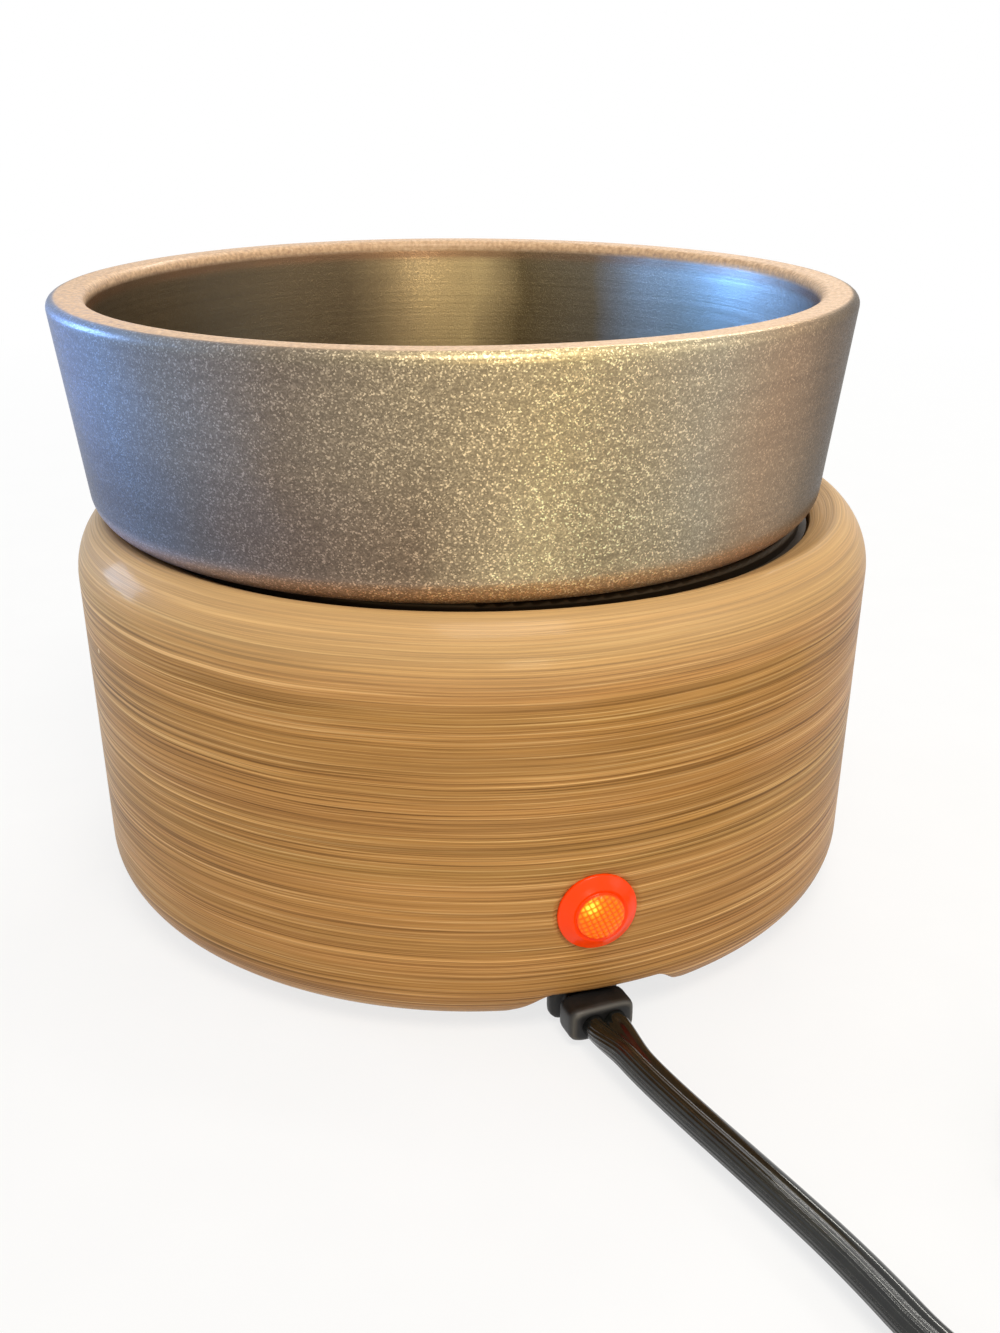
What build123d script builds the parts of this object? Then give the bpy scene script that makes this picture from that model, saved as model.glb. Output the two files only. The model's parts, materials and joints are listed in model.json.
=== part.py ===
from build123d import *
import math
import os

# Electric candle warmer with a lift-off wax dish, in millimetres.
# The origin is on the table under the base's axis, +Z is up and -Y is the front.
# Azimuths are turned from the front (-Y) towards the right (+X), in degrees.

os.makedirs("parts", exist_ok=True)

# ------------------------------------------------------------------ driving sizes

# Ceramic base: a slip-cast bell, open above and below
base_clearance = 1.0  # the feet hold the ceramic this far off the table
base_height = 67.3  # from the bottom ring to the crown's sharp corner
base_low_radius = 67.2
base_top_radius = 68.5
base_bottom_round = 9.5
base_wall = 5.0
shoulder_height = 10.0
shoulder_width = 5.0  # from the wall's top in to the crown
crown_round = 2.0
mouth_width = 5.1  # the mouth slopes down from the crown to the throat
mouth_fall = 2.2
lip_round = 0.8
ledge_width = 7.9  # the shelf that carries the hot plate
ledge_thickness = 3.7
ledge_gusset = 7.5
ring_width = 4.1  # the flat ring that the ceramic ends in
flange_thickness = 5.4
flange_ledge = 3.1
cover_recess = 2.2
inner_round = 4.4

# Cord notch in the bottom edge
notch_azimuth = 17.5
notch_height = 5.8
notch_top_width = 19.0
notch_end_run = 6.0  # each slanting end's width
notch_flare = 1.0  # the ends start this far below the ring, so they leave it at a slant
notch_round = 5.0

# Wax dish
dish_shift_x = -2.8  # it is set down a little off the base's axis
dish_shift_y = 0.9
dish_height = 36.8
dish_foot_radius = 62.1  # the foot's sharp corner
dish_rim_radius = 66.7
dish_wall = 5.1
dish_floor = 5.6
dish_foot_round = 7.0
dish_inner_round = 9.0
dish_rim_round = 1.5

# Hot plate and what it is clamped with
plate_recess = 1.2  # from the crown's corner down to the plate
plate_gap = 1.6
plate_thickness = 2.0
plate_edge_round = 0.8
bead_inset = 2.2  # from the plate's edge to the middle of its bead
bead_width = 1.4
bead_depth = 0.4
gasket_thickness = 1.5
gasket_gap = 0.4
heater_gap = 4.5  # from the ledge's edge to the mica
mica_thickness = 0.6
ribbon_width = 2.2
ribbon_thickness = 0.4
ribbon_inner_radius = 17.0
ribbon_spokes = 22
ribbon_margin = 5.0
terminal_azimuth = 14.0
terminal_size = 6.0
pad_thickness = 5.0
pad_margin = 1.0
clamp_margin = 3.0  # from the mica's edge to the clamp plate
clamp_thickness = 1.2
clamp_bead_radius = 30.0
clamp_bead_width = 4.0
clamp_bead_height = 1.0
rod_radius = 2.0
rod_clearance = 0.35
nut_flats = 7.0
nut_thickness = 3.2
washer_radius = 5.0
washer_thickness = 1.0
rod_end_proud = 0.7

# Bottom cover and feet
cover_clearance = 0.4
cover_thickness = 1.6
well_radius = 9.5
well_wall = 1.8
well_height = 5.8  # from the cover's underside up to the well's floor
vent_circle_radius = 28.0
vent_count = 8
vent_length = 16.0
vent_width = 3.0
foot_inset = 9.2  # from the cover's edge to a foot's middle
foot_radius = 5.5
foot_count = 4
foot_chamfer = 0.4
cheek_thickness = 1.6
cheek_height = 3.0
tooth_width = 1.5
tooth_depth = 1.0

# Strain relief of the cord
grip_azimuth = 15.8
grip_heading = 21.0  # the cord leaves a little more to the right than straight out
grip_stand_out = 3.3
grip_axis_height = 3.7
grip_block = (10.6, 5.6, 5.2)  # width, height, length
grip_neck = (7.6, 4.4, 1.2)
grip_lobe = (11.4, 5.6, 3.0)
grip_shank = (9.0, 4.8, 15.1)
grip_round = 1.6
grip_groove_at = 18.7  # from the outer face to the middle of the side grooves
fit_clearance = 0.2

# Pilot lamp
lamp_azimuth = 15.4
lamp_height = 20.6  # above the ceramic's bottom
lamp_seat_depth = 0.35
lens_flange_radius = 6.2
lens_edge = 0.6
lens_shoulder_radius = 4.3
lens_shoulder = 1.7
lens_dome_radius = 3.8
lens_dome_top = 2.9
lens_barrel_radius = 3.9
lens_bore_radius = 3.2
lens_barrel_length = 13.0
lens_skin = 1.0
lamp_hole_clearance = 0.25
clip_size = 11.0
clip_thickness = 0.6
clip_gap = 0.1  # between the ceramic and the clip's corners
bulb_radius = 2.9
bulb_length = 13.0
bulb_base_length = 2.5
resistor_radius = 1.2
resistor_length = 6.5
lamp_lead_spread = 1.5
lamp_lead_radius = 0.6

# Wiring inside
wire_radius = 1.1
splice_radius = 2.7
splice_length = 13.0
splice_above_cover = 6.8
splice_spread = 5.0
splice_inset = 16.0
entry_spread = 1.3  # mains wire and heater wire in a splice's mouth
lamp_entry = 1.7
wire_pair_spread = 1.25
wire_start_height = 4.6
door_width = 5.6
fuse_radius = 2.0
fuse_length = 11.5
fuse_below_clamp = 1.4
arch_height = 7.0  # the mains wires pass over the splices' mouths this high
arch_reach = 9.5

# Cord: two conductors in one flat jacket
cord_width = 7.1
cord_thickness = 3.6
cord_flat = 4.4  # width of the flat faces between the slanting sides
cord_lift = 0.15
lead_straight_run = 14.0  # the last stretch before the switch

# Switch on the cord
switch_heading = 62.0
switch_length = 42.0
switch_width = 19.0
switch_height = 11.0
switch_end_width = 11.0
switch_shoulder = 9.0
switch_round = 1.4
switch_lift = 0.1
switch_parting = 4.8  # height of the joint between its halves, where the cord enters
wheel_radius = 8.4
wheel_thickness = 4.4
wheel_offset = 2.6  # the wheel's axis stands this far off the middle, so its edge shows
wheel_rib_count = 20
wheel_rib_depth = 0.5
wheel_rib_width = 1.1
wheel_gap = 0.5
axle_radius = 2.0
axle_reach = 1.4
axle_gap = 0.08
switch_screw_radius = 1.4
switch_screw_head_radius = 2.6
switch_screw_head = 1.2
switch_screw_reach = 8.2
switch_screw_at = 15.5
contact_size = (1.6, 7.0, 3.2)
contact_at = 10.2

# Coil of the cord's spare length
coil_centre_x = 119.8
coil_centre_y = -104.8
coil_start_radius = 44.5
coil_gap = 0.6  # between turns that lie side by side
layer_gap = 1.0
coil_roll = 0.4  # what the upper layer's tilt adds to its height
coil_turns_in = 5  # half turns that spiral in
coil_turns_out = 4  # half turns that spiral out again
coil_run_in = 24.0
link_runs = (14.0, 15.0, 18.0)  # from the switch towards the coil
coil_run_out = 14.0
tie_width = 6.0
tie_thickness = 0.5
tie_gap = 0.05
tie_side_gap = 0.45
tie_lift = 0.1

# Mains plug
tail_length = 30.0
plug_length = 33.0
plug_width = 22.0
plug_height = 15.0
plug_tail_width = 12.0
plug_tail_height = 8.0
plug_tail_length = 10.0
plug_round = 2.4
plug_lift = 0.1
blade_spacing = 12.7
blade_length = 17.0
blade_height = 6.35
blade_thickness = 1.5
blade_root = 6.0
blade_hole_radius = 1.6
blade_hole_from_tip = 3.5

# ------------------------------------------------------------- heights and planes

base_bottom = base_clearance
base_top = base_bottom + base_height
crown_radius = base_top_radius - shoulder_width
throat_radius = crown_radius - mouth_width
throat_top = base_top - mouth_fall
shoulder_start = base_top - shoulder_height
plate_top = base_top - plate_recess
plate_bottom = plate_top - plate_thickness
ledge_top = plate_bottom - gasket_thickness
ledge_bottom = ledge_top - ledge_thickness
ledge_radius = throat_radius - ledge_width
plate_radius = throat_radius - plate_gap
bead_radius = plate_radius - bead_inset
heater_radius = ledge_radius - heater_gap
clamp_radius = heater_radius - clamp_margin
flange_top = base_bottom + flange_thickness
cover_opening_radius = base_low_radius - base_bottom_round - ring_width
flange_radius = cover_opening_radius - flange_ledge
cover_seat = base_bottom + cover_recess
cover_bottom = cover_seat - cover_thickness
cover_radius = cover_opening_radius - cover_clearance
foot_circle_radius = cover_radius - foot_inset
well_floor = cover_bottom + well_height


def across(azimuth):
    """The unit vector that points outwards at an azimuth."""
    turn = math.radians(azimuth)
    return Vector(math.sin(turn), -math.cos(turn), 0)


def outward_plane(azimuth, radius, height):
    """A plane that faces outwards, with its local x to the right and its local y up."""
    facing = across(azimuth)
    right = Vector(-facing.Y, facing.X, 0)
    return Plane(origin=facing * radius + Vector(0, 0, height), x_dir=right, z_dir=facing)


def side_plane(plane):
    """A plane through another one's normal, for profiles that turn round that normal."""
    return Plane(origin=plane.origin, x_dir=plane.x_dir, z_dir=-plane.y_dir)


def wall_radius(height):
    """Outside radius of the base's straight wall at a height above the table."""
    share = (height - base_bottom) / (shoulder_start - base_bottom)
    return base_low_radius + (base_top_radius - base_low_radius) * share


def inner_wall_radius(height):
    """Inside radius of the base's straight wall at a height above the table."""
    share = (height - flange_top) / (ledge_bottom - ledge_gusset - flange_top)
    return base_low_radius + (base_top_radius - base_low_radius) * share - base_wall


def corner(sketch, x, y):
    """The vertex of a sketch that lies nearest to a point in the sketch's own plane."""
    return sketch.vertices().sort_by_distance((x, y, 0))[0]


def bend_radii(points):
    """The largest radius at each corner of a route that its two runs leave room for."""
    radii = []
    for before, at, after in zip(points, points[1:], points[2:]):
        arriving, leaving = Vector(*at) - Vector(*before), Vector(*after) - Vector(*at)
        half_turn = math.radians(arriving.get_angle(leaving)) / 2
        radii.append(0.45 * min(arriving.length, leaving.length) / math.tan(half_turn))
    return radii


def round_wire(points, radius):
    """A round wire of six sides along straight runs joined by arcs."""
    with BuildPart() as wire:
        with BuildLine() as route:
            FilletPolyline(*points, radius=bend_radii(points))
        with BuildSketch(Plane(origin=route.line @ 0, z_dir=route.line % 0)):
            RegularPolygon(radius, 6)
        sweep(path=route.line)
    return wire.part


def flat_section(path):
    """The flat cord's outline, square to the start of its path and lying level."""
    along = path % 0
    level = Plane(origin=path @ 0, x_dir=Vector(0, 0, 1).cross(along), z_dir=along)
    with BuildSketch(level) as section:
        with BuildLine():
            Polyline(
                (cord_width / 2, 0),
                (cord_flat / 2, cord_thickness / 2),
                (-cord_flat / 2, cord_thickness / 2),
                (-cord_width / 2, 0),
                (-cord_flat / 2, -cord_thickness / 2),
                (cord_flat / 2, -cord_thickness / 2),
                close=True,
            )
        make_face()
    return section.sketch


def report_tube(name, tube, path):
    """Prints a tube's volume beside its section times its length."""
    area = (cord_width + cord_flat) / 2 * cord_thickness
    print(name, "length", round(path.length, 1), end=" ")
    print("volume over section times length", round(tube.volume / (area * path.length), 4))


def flat_cord(name, points):
    """A stretch of the flat cord along straight runs joined by arcs."""
    radii = bend_radii(points)
    with BuildPart() as cord:
        with BuildLine() as route:
            FilletPolyline(*points, radius=radii)
        add(flat_section(route.wire()))
        sweep(path=route.wire())
    print(name, "radii", [round(radius, 1) for radius in radii])
    report_tube(name, cord.part, route.wire())
    return cord.part


# -------------------------------------------------------------------- base shell

with BuildPart() as base_shell:
    with BuildSketch(Plane.XZ) as base_profile:
        with BuildLine():
            wall = Line((base_low_radius, base_bottom), (base_top_radius, shoulder_start))
            TangentArc(wall @ 1, (crown_radius, base_top), tangent=wall % 1)
            Polyline(
                (crown_radius, base_top),
                (throat_radius, throat_top),
                (throat_radius, ledge_top),
                (ledge_radius, ledge_top),
                (ledge_radius, ledge_bottom),
                (base_top_radius - base_wall, ledge_bottom - ledge_gusset),
                (base_low_radius - base_wall, flange_top),
                (flange_radius, flange_top),
                (flange_radius, cover_seat),
                (cover_opening_radius, cover_seat),
                (cover_opening_radius, base_bottom),
                (base_low_radius, base_bottom),
            )
        make_face()
        fillet(corner(base_profile, base_low_radius, base_bottom), base_bottom_round)
        fillet(corner(base_profile, base_low_radius - base_wall, flange_top), inner_round)
        fillet(corner(base_profile, crown_radius, base_top), crown_round)
        fillet(corner(base_profile, throat_radius, throat_top), lip_round)
    revolve(axis=Axis.Z)
    with BuildSketch(outward_plane(notch_azimuth, 0, base_bottom)) as notch_outline:
        with BuildLine():
            half_top = notch_top_width / 2
            half_bottom = half_top + notch_end_run
            Polyline(
                (half_bottom + notch_round, -notch_flare),
                (half_bottom, -notch_flare),
                (half_top, notch_height),
                (-half_top, notch_height),
                (-half_bottom, -notch_flare),
                (-half_bottom - notch_round, -notch_flare),
                (-half_bottom - notch_round, -2 * notch_flare),
                (half_bottom + notch_round, -2 * notch_flare),
                close=True,
            )
        make_face()
        for side in (-1, 1):
            fillet(corner(notch_outline, side * half_top, notch_height), notch_round)
            fillet(corner(notch_outline, side * half_bottom, -notch_flare), notch_round)
    extrude(amount=base_top_radius + base_wall, mode=Mode.SUBTRACT)
    lamp_centre = base_bottom + lamp_height
    lamp_seat = wall_radius(lamp_centre) - lamp_seat_depth
    lamp_plane = outward_plane(lamp_azimuth, lamp_seat, lamp_centre)
    with Locations(lamp_plane.offset(base_wall)):
        CounterBoreHole(
            radius=lens_barrel_radius + lamp_hole_clearance,
            counter_bore_radius=lens_flange_radius + lamp_hole_clearance,
            counter_bore_depth=base_wall,
            depth=4 * base_wall,
        )
base_shell.part.label = "base_shell"
export_step(base_shell.part, "parts/base_shell.step")

# --------------------------------------------------------------------- wax dish

dish_axis = Axis((dish_shift_x, dish_shift_y, 0), (0, 0, 1))
dish_plane = Plane(origin=(dish_shift_x, dish_shift_y, plate_top), x_dir=(1, 0, 0), z_dir=(0, -1, 0))
dish_flare = (dish_rim_radius - dish_foot_radius) / dish_height
dish_inner_rim = dish_rim_radius - dish_wall
dish_inner_foot = dish_foot_radius - dish_wall + dish_floor * dish_flare
with BuildPart() as dish:
    with BuildSketch(dish_plane) as dish_profile:
        with BuildLine():
            Polyline(
                (0, 0),
                (dish_foot_radius, 0),
                (dish_rim_radius, dish_height),
                (dish_inner_rim, dish_height),
                (dish_inner_foot, dish_floor),
                (0, dish_floor),
                close=True,
            )
        make_face()
        fillet(corner(dish_profile, dish_foot_radius, 0), dish_foot_round)
        fillet(corner(dish_profile, dish_inner_foot, dish_floor), dish_inner_round)
        fillet(corner(dish_profile, dish_rim_radius, dish_height), dish_rim_round)
        fillet(corner(dish_profile, dish_inner_rim, dish_height), dish_rim_round)
    revolve(axis=dish_axis)
dish.part.label = "dish"
export_step(dish.part, "parts/dish.step")

# -------------------------------------------------------- hot plate and its gasket

with BuildPart() as hot_plate:
    with BuildSketch(Plane.XY.offset(plate_bottom)):
        Circle(plate_radius)
    extrude(amount=plate_thickness)
    fillet(hot_plate.edges().group_by(Axis.Z)[-1], plate_edge_round)
    with BuildSketch(Plane.XY.offset(plate_top)):
        Circle(bead_radius + bead_width / 2)
        Circle(bead_radius - bead_width / 2, mode=Mode.SUBTRACT)
    extrude(amount=-bead_depth, mode=Mode.SUBTRACT)
hot_plate.part.label = "hot_plate"
export_step(hot_plate.part, "parts/hot_plate.step")

with BuildPart() as plate_gasket:
    with BuildSketch(Plane.XY.offset(ledge_top)):
        Circle(throat_radius - gasket_gap)
        Circle(ledge_radius + gasket_gap, mode=Mode.SUBTRACT)
    extrude(amount=gasket_thickness)
plate_gasket.part.label = "plate_gasket"
export_step(plate_gasket.part, "parts/plate_gasket.step")

# ---------------------------------------------------- heater, from the plate down

upper_mica_bottom = plate_bottom - mica_thickness
ribbon_bottom = upper_mica_bottom - ribbon_thickness
lower_mica_bottom = ribbon_bottom - mica_thickness
pad_bottom = lower_mica_bottom - pad_thickness
clamp_bottom = pad_bottom - clamp_thickness
rod_hole_radius = rod_radius + rod_clearance
lead_hole_radius = wire_radius + rod_clearance
ribbon_outer_radius = heater_radius - ribbon_margin
terminals = [across(side * terminal_azimuth) * ribbon_outer_radius for side in (-1, 1)]
terminal_places = [(spot.X, spot.Y) for spot in terminals]

with BuildPart() as upper_mica:
    with BuildSketch(Plane.XY.offset(upper_mica_bottom)):
        Circle(heater_radius)
        Circle(rod_hole_radius, mode=Mode.SUBTRACT)
    extrude(amount=mica_thickness)
upper_mica.part.label = "upper_mica"
export_step(upper_mica.part, "parts/upper_mica.step")

# The ribbon runs out and in round the plate, from one terminal to the other
ribbon_span = 360 - 2 * terminal_azimuth
ribbon_points = [across(terminal_azimuth) * ribbon_outer_radius]
for spoke in range(1, ribbon_spokes):
    reach = ribbon_outer_radius if spoke % 4 in (0, 3) else ribbon_inner_radius
    ribbon_points.append(across(terminal_azimuth + ribbon_span * spoke / ribbon_spokes) * reach)
ribbon_points.append(across(-terminal_azimuth) * ribbon_outer_radius)
with BuildPart() as heater_ribbon:
    with BuildSketch(Plane.XY.offset(ribbon_bottom)):
        with BuildLine():
            Polyline(*[(point.X, point.Y) for point in ribbon_points])
        trace(line_width=ribbon_width)
        with Locations(*terminal_places):
            Rectangle(terminal_size, terminal_size)
    extrude(amount=ribbon_thickness)
heater_ribbon.part.label = "heater_ribbon"
export_step(heater_ribbon.part, "parts/heater_ribbon.step")

with BuildPart() as lower_mica:
    with BuildSketch(Plane.XY.offset(lower_mica_bottom)):
        Circle(heater_radius)
        Circle(rod_hole_radius, mode=Mode.SUBTRACT)
        with Locations(*terminal_places):
            Circle(lead_hole_radius, mode=Mode.SUBTRACT)
    extrude(amount=mica_thickness)
lower_mica.part.label = "lower_mica"
export_step(lower_mica.part, "parts/lower_mica.step")

with BuildPart() as insulation_pad:
    with BuildSketch(Plane.XY.offset(pad_bottom)):
        Circle(heater_radius + pad_margin)
        Circle(rod_hole_radius, mode=Mode.SUBTRACT)
        with Locations(*terminal_places):
            Circle(lead_hole_radius, mode=Mode.SUBTRACT)
    extrude(amount=pad_thickness)
insulation_pad.part.label = "insulation_pad"
export_step(insulation_pad.part, "parts/insulation_pad.step")

with BuildPart() as clamp_plate:
    with BuildSketch(Plane.XY.offset(clamp_bottom)):
        Circle(clamp_radius)
    extrude(amount=clamp_thickness)
    with BuildSketch(Plane.XY.offset(clamp_bottom)):
        Circle(clamp_bead_radius + clamp_bead_width / 2)
        Circle(clamp_bead_radius - clamp_bead_width / 2, mode=Mode.SUBTRACT)
    extrude(amount=-clamp_bead_height)
    with BuildSketch(Plane.XY.offset(clamp_bottom - clamp_bead_height)):
        Circle(rod_hole_radius)
        with Locations(*terminal_places):
            Circle(lead_hole_radius)
    extrude(amount=clamp_thickness + clamp_bead_height, mode=Mode.SUBTRACT)
clamp_plate.part.label = "clamp_plate"
export_step(clamp_plate.part, "parts/clamp_plate.step")

# ------------------------------------------------------------ tie rod, nuts, washers

upper_washer_bottom = clamp_bottom - washer_thickness
upper_nut_bottom = upper_washer_bottom - nut_thickness
lower_washer_bottom = well_floor - washer_thickness
lower_nut_bottom = lower_washer_bottom - nut_thickness
rod_bottom = lower_nut_bottom - rod_end_proud

with BuildPart() as tie_rod:
    with BuildSketch(Plane.XY.offset(rod_bottom)):
        Circle(rod_radius)
    extrude(amount=plate_bottom - rod_bottom)
tie_rod.part.label = "tie_rod"
export_step(tie_rod.part, "parts/tie_rod.step")

with BuildPart() as tie_nuts:
    for nut_bottom in (upper_nut_bottom, lower_nut_bottom):
        with BuildSketch(Plane.XY.offset(nut_bottom)):
            RegularPolygon(nut_flats / 2, 6, major_radius=False)
            Circle(rod_radius, mode=Mode.SUBTRACT)
        extrude(amount=nut_thickness)
tie_nuts.part.label = "tie_nuts"
export_step(tie_nuts.part, "parts/tie_nuts.step")

with BuildPart() as tie_washers:
    for washer_bottom in (upper_washer_bottom, lower_washer_bottom):
        with BuildSketch(Plane.XY.offset(washer_bottom)):
            Circle(washer_radius)
            Circle(rod_radius, mode=Mode.SUBTRACT)
        extrude(amount=washer_thickness)
tie_washers.part.label = "tie_washers"
export_step(tie_washers.part, "parts/tie_washers.step")

# ------------------------------------------------------------ strain relief's place

grip_point = across(grip_azimuth) * (base_low_radius + grip_stand_out)
grip_facing = across(grip_heading)
grip_plane = Plane(
    origin=(grip_point.X, grip_point.Y, grip_axis_height),
    x_dir=(-grip_facing.Y, grip_facing.X, 0),
    z_dir=grip_facing,
)
grip_length = grip_block[2] + grip_neck[2] + grip_lobe[2] + grip_shank[2]
grip_inner_face = grip_plane.offset(-grip_length)

# ----------------------------------------------------------------- bottom cover

slot_width = grip_shank[0] + 2 * fit_clearance
slot_reach = grip_length + 10
slot_plane = Plane(
    origin=(grip_point.X, grip_point.Y, cover_bottom), x_dir=grip_plane.z_dir, z_dir=(0, 0, 1)
)
slot_inner_end = -grip_length - fit_clearance

with BuildPart() as bottom_cover:
    with BuildSketch(Plane.XY.offset(cover_bottom)):
        Circle(cover_radius)
    extrude(amount=cover_thickness)
    with BuildSketch(Plane.XY.offset(cover_bottom)):
        Circle(well_radius + well_wall)
    extrude(amount=well_height + well_wall)
    # cheeks on both sides of the strain relief, kept inside the ceramic's opening
    with BuildSketch(slot_plane):
        with Locations((slot_inner_end - cheek_thickness, 0)):
            Rectangle(slot_reach, slot_width + 2 * cheek_thickness, align=(Align.MIN, Align.CENTER))
        with Locations(slot_plane.location.inverse()):
            Circle(flange_radius - cover_clearance, mode=Mode.INTERSECT)
    extrude(amount=cover_thickness + cheek_height)
    with BuildSketch(slot_plane):
        with Locations((slot_inner_end, 0)):
            Rectangle(slot_reach, slot_width, align=(Align.MIN, Align.CENTER))
        for side in (-1, 1):
            with Locations((-grip_groove_at, side * slot_width / 2)):
                Rectangle(tooth_width, 2 * tooth_depth, mode=Mode.SUBTRACT)
    extrude(amount=cover_thickness + cheek_height, mode=Mode.SUBTRACT)
    with BuildSketch(slot_plane.offset(cover_thickness)):
        with Locations((slot_inner_end, 0)):
            Rectangle(2 * cheek_thickness + 2, door_width)
    extrude(amount=cheek_height, mode=Mode.SUBTRACT)
    with BuildSketch(Plane.XY.offset(cover_bottom)):
        Circle(well_radius)
    extrude(amount=well_height, mode=Mode.SUBTRACT)
    with BuildSketch(Plane.XY.offset(cover_bottom)):
        Circle(rod_hole_radius)
        with PolarLocations(vent_circle_radius, vent_count, start_angle=22.5):
            SlotOverall(vent_length, vent_width, rotation=90)
    extrude(amount=well_height + well_wall, mode=Mode.SUBTRACT)
bottom_cover.part.label = "bottom_cover"
export_step(bottom_cover.part, "parts/bottom_cover.step")

with BuildPart() as rubber_feet:
    with BuildSketch(Plane.XY):
        with PolarLocations(foot_circle_radius, foot_count, start_angle=45):
            Circle(foot_radius)
    extrude(amount=cover_bottom)
    chamfer(rubber_feet.edges().group_by(Axis.Z)[0], foot_chamfer)
rubber_feet.part.label = "rubber_feet"
export_step(rubber_feet.part, "parts/rubber_feet.step")

# ---------------------------------------------------------------- strain relief

with BuildPart() as cord_grip:
    depth = 0
    for width, height, length in (grip_block, grip_neck, grip_lobe, grip_shank):
        with BuildSketch(grip_plane.offset(-depth)):
            RectangleRounded(width, height, grip_round)
        extrude(amount=-length)
        depth += length
    groove_width = tooth_width + 2 * fit_clearance
    groove_depth = (grip_shank[0] - slot_width) / 2 + tooth_depth
    for side in (-1, 1):
        with Locations(grip_plane.offset(-grip_groove_at).location):
            with Locations((side * grip_shank[0] / 2, 0, 0)):
                Box(2 * groove_depth, grip_shank[1], groove_width, mode=Mode.SUBTRACT)
cord_grip.part.label = "cord_grip"
export_step(cord_grip.part, "parts/cord_grip.step")

# ------------------------------------------------------------------- pilot lamp

with BuildPart() as lamp_lens:
    with BuildSketch(side_plane(lamp_plane)):
        with BuildLine():
            Polyline(
                (lens_dome_radius, lens_shoulder),
                (lens_shoulder_radius, lens_shoulder),
                (lens_flange_radius, lens_edge),
                (lens_flange_radius, 0),
                (lens_barrel_radius, 0),
                (lens_barrel_radius, -lens_barrel_length),
                (lens_bore_radius, -lens_barrel_length),
                (lens_bore_radius, lens_shoulder - lens_skin),
                (0, lens_dome_top - lens_skin),
                (0, lens_dome_top),
            )
            TangentArc((0, lens_dome_top), (lens_dome_radius, lens_shoulder), tangent=(1, 0))
        make_face()
    revolve(axis=Axis(lamp_plane.origin, lamp_plane.z_dir))
lamp_lens.part.label = "lamp_lens"
export_step(lamp_lens.part, "parts/lamp_lens.step")

clip_ends = (lamp_centre - clip_size / 2, lamp_centre + clip_size / 2)
narrowest = min(inner_wall_radius(height) for height in clip_ends)
clip_back = lamp_seat - math.sqrt(narrowest**2 - (clip_size / 2) ** 2) + clip_gap
with BuildPart() as lamp_clip:
    with BuildSketch(lamp_plane.offset(-clip_back)):
        RectangleRounded(clip_size, clip_size, lens_shoulder)
        Circle(lens_barrel_radius, mode=Mode.SUBTRACT)
    extrude(amount=-clip_thickness)
lamp_clip.part.label = "lamp_clip"
export_step(lamp_clip.part, "parts/lamp_clip.step")

bulb_end = lens_barrel_length + bulb_base_length / 2
with BuildPart() as neon_bulb:
    with BuildSketch(lamp_plane.offset(-bulb_end)):
        Circle(bulb_radius)
    extrude(amount=bulb_length)
    chamfer(neon_bulb.edges().sort_by(Axis(lamp_plane.origin, lamp_plane.z_dir))[-1], bulb_radius / 3)
    with BuildSketch(lamp_plane.offset(-bulb_end)):
        Circle(lens_bore_radius)
    extrude(amount=bulb_base_length)
neon_bulb.part.label = "neon_bulb"
export_step(neon_bulb.part, "parts/neon_bulb.step")

# ------------------------------------------------------------------ wiring inside


def inside(along, sideways, height):
    """A point from the strain relief's inner face: inwards, to the right and above the table."""
    spot = grip_inner_face.origin - grip_plane.z_dir * along + grip_plane.x_dir * sideways
    return Vector(spot.X, spot.Y, height)


def between(start, end, distance):
    """The point at a distance from one point towards another."""
    return start + (end - start).normalized() * distance


splice_foot = cover_seat + splice_above_cover
splice_top = splice_foot + splice_length
with BuildPart() as wire_splices:
    for side in (-1, 1):
        foot = inside(splice_inset, side * splice_spread, splice_foot)
        with BuildSketch(Plane(origin=foot, z_dir=(0, 0, 1))):
            Circle(splice_radius)
        extrude(amount=splice_length)
    chamfer(wire_splices.edges().group_by(Axis.Z)[0], splice_radius / 3)
wire_splices.part.label = "wire_splices"
export_step(wire_splices.part, "parts/wire_splices.step")

with BuildPart() as mains_wires:
    for side in (-1, 1):
        mouth = side * splice_spread
        route_points = [
            inside(0, side * wire_pair_spread, wire_start_height),
            inside(6.5, side * wire_pair_spread, wire_start_height),
            inside(arch_reach, mouth, splice_top + arch_height),
            inside(splice_inset - entry_spread, mouth, splice_top + arch_height),
            inside(splice_inset - entry_spread, mouth, splice_top),
        ]
        add(round_wire(route_points, wire_radius))
mains_wires.part.label = "mains_wires"
export_step(mains_wires.part, "parts/mains_wires.step")

right_terminal, left_terminal = terminals[1], terminals[0]
fuse_top = clamp_bottom - fuse_below_clamp
fuse_foot = fuse_top - fuse_length
with BuildPart() as heater_wires:
    leaving = splice_inset + entry_spread
    right_route = [
        inside(leaving, splice_spread, splice_top),
        inside(leaving, splice_spread, fuse_foot),
        Vector(right_terminal.X, right_terminal.Y, fuse_top),
        Vector(right_terminal.X, right_terminal.Y, ribbon_bottom),
    ]
    left_route = [
        inside(leaving, -splice_spread, splice_top),
        inside(leaving, -splice_spread, (splice_top + fuse_foot) / 2),
        Vector(left_terminal.X, left_terminal.Y, (splice_top + fuse_foot) / 2),
        Vector(left_terminal.X, left_terminal.Y, fuse_foot),
    ]
    add(round_wire(right_route, wire_radius))
    add(round_wire(left_route, wire_radius))
    with BuildSketch(Plane(origin=(left_terminal.X, left_terminal.Y, fuse_top))):
        RegularPolygon(wire_radius, 6)
    extrude(amount=ribbon_bottom - fuse_top)
heater_wires.part.label = "heater_wires"
export_step(heater_wires.part, "parts/heater_wires.step")

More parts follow.
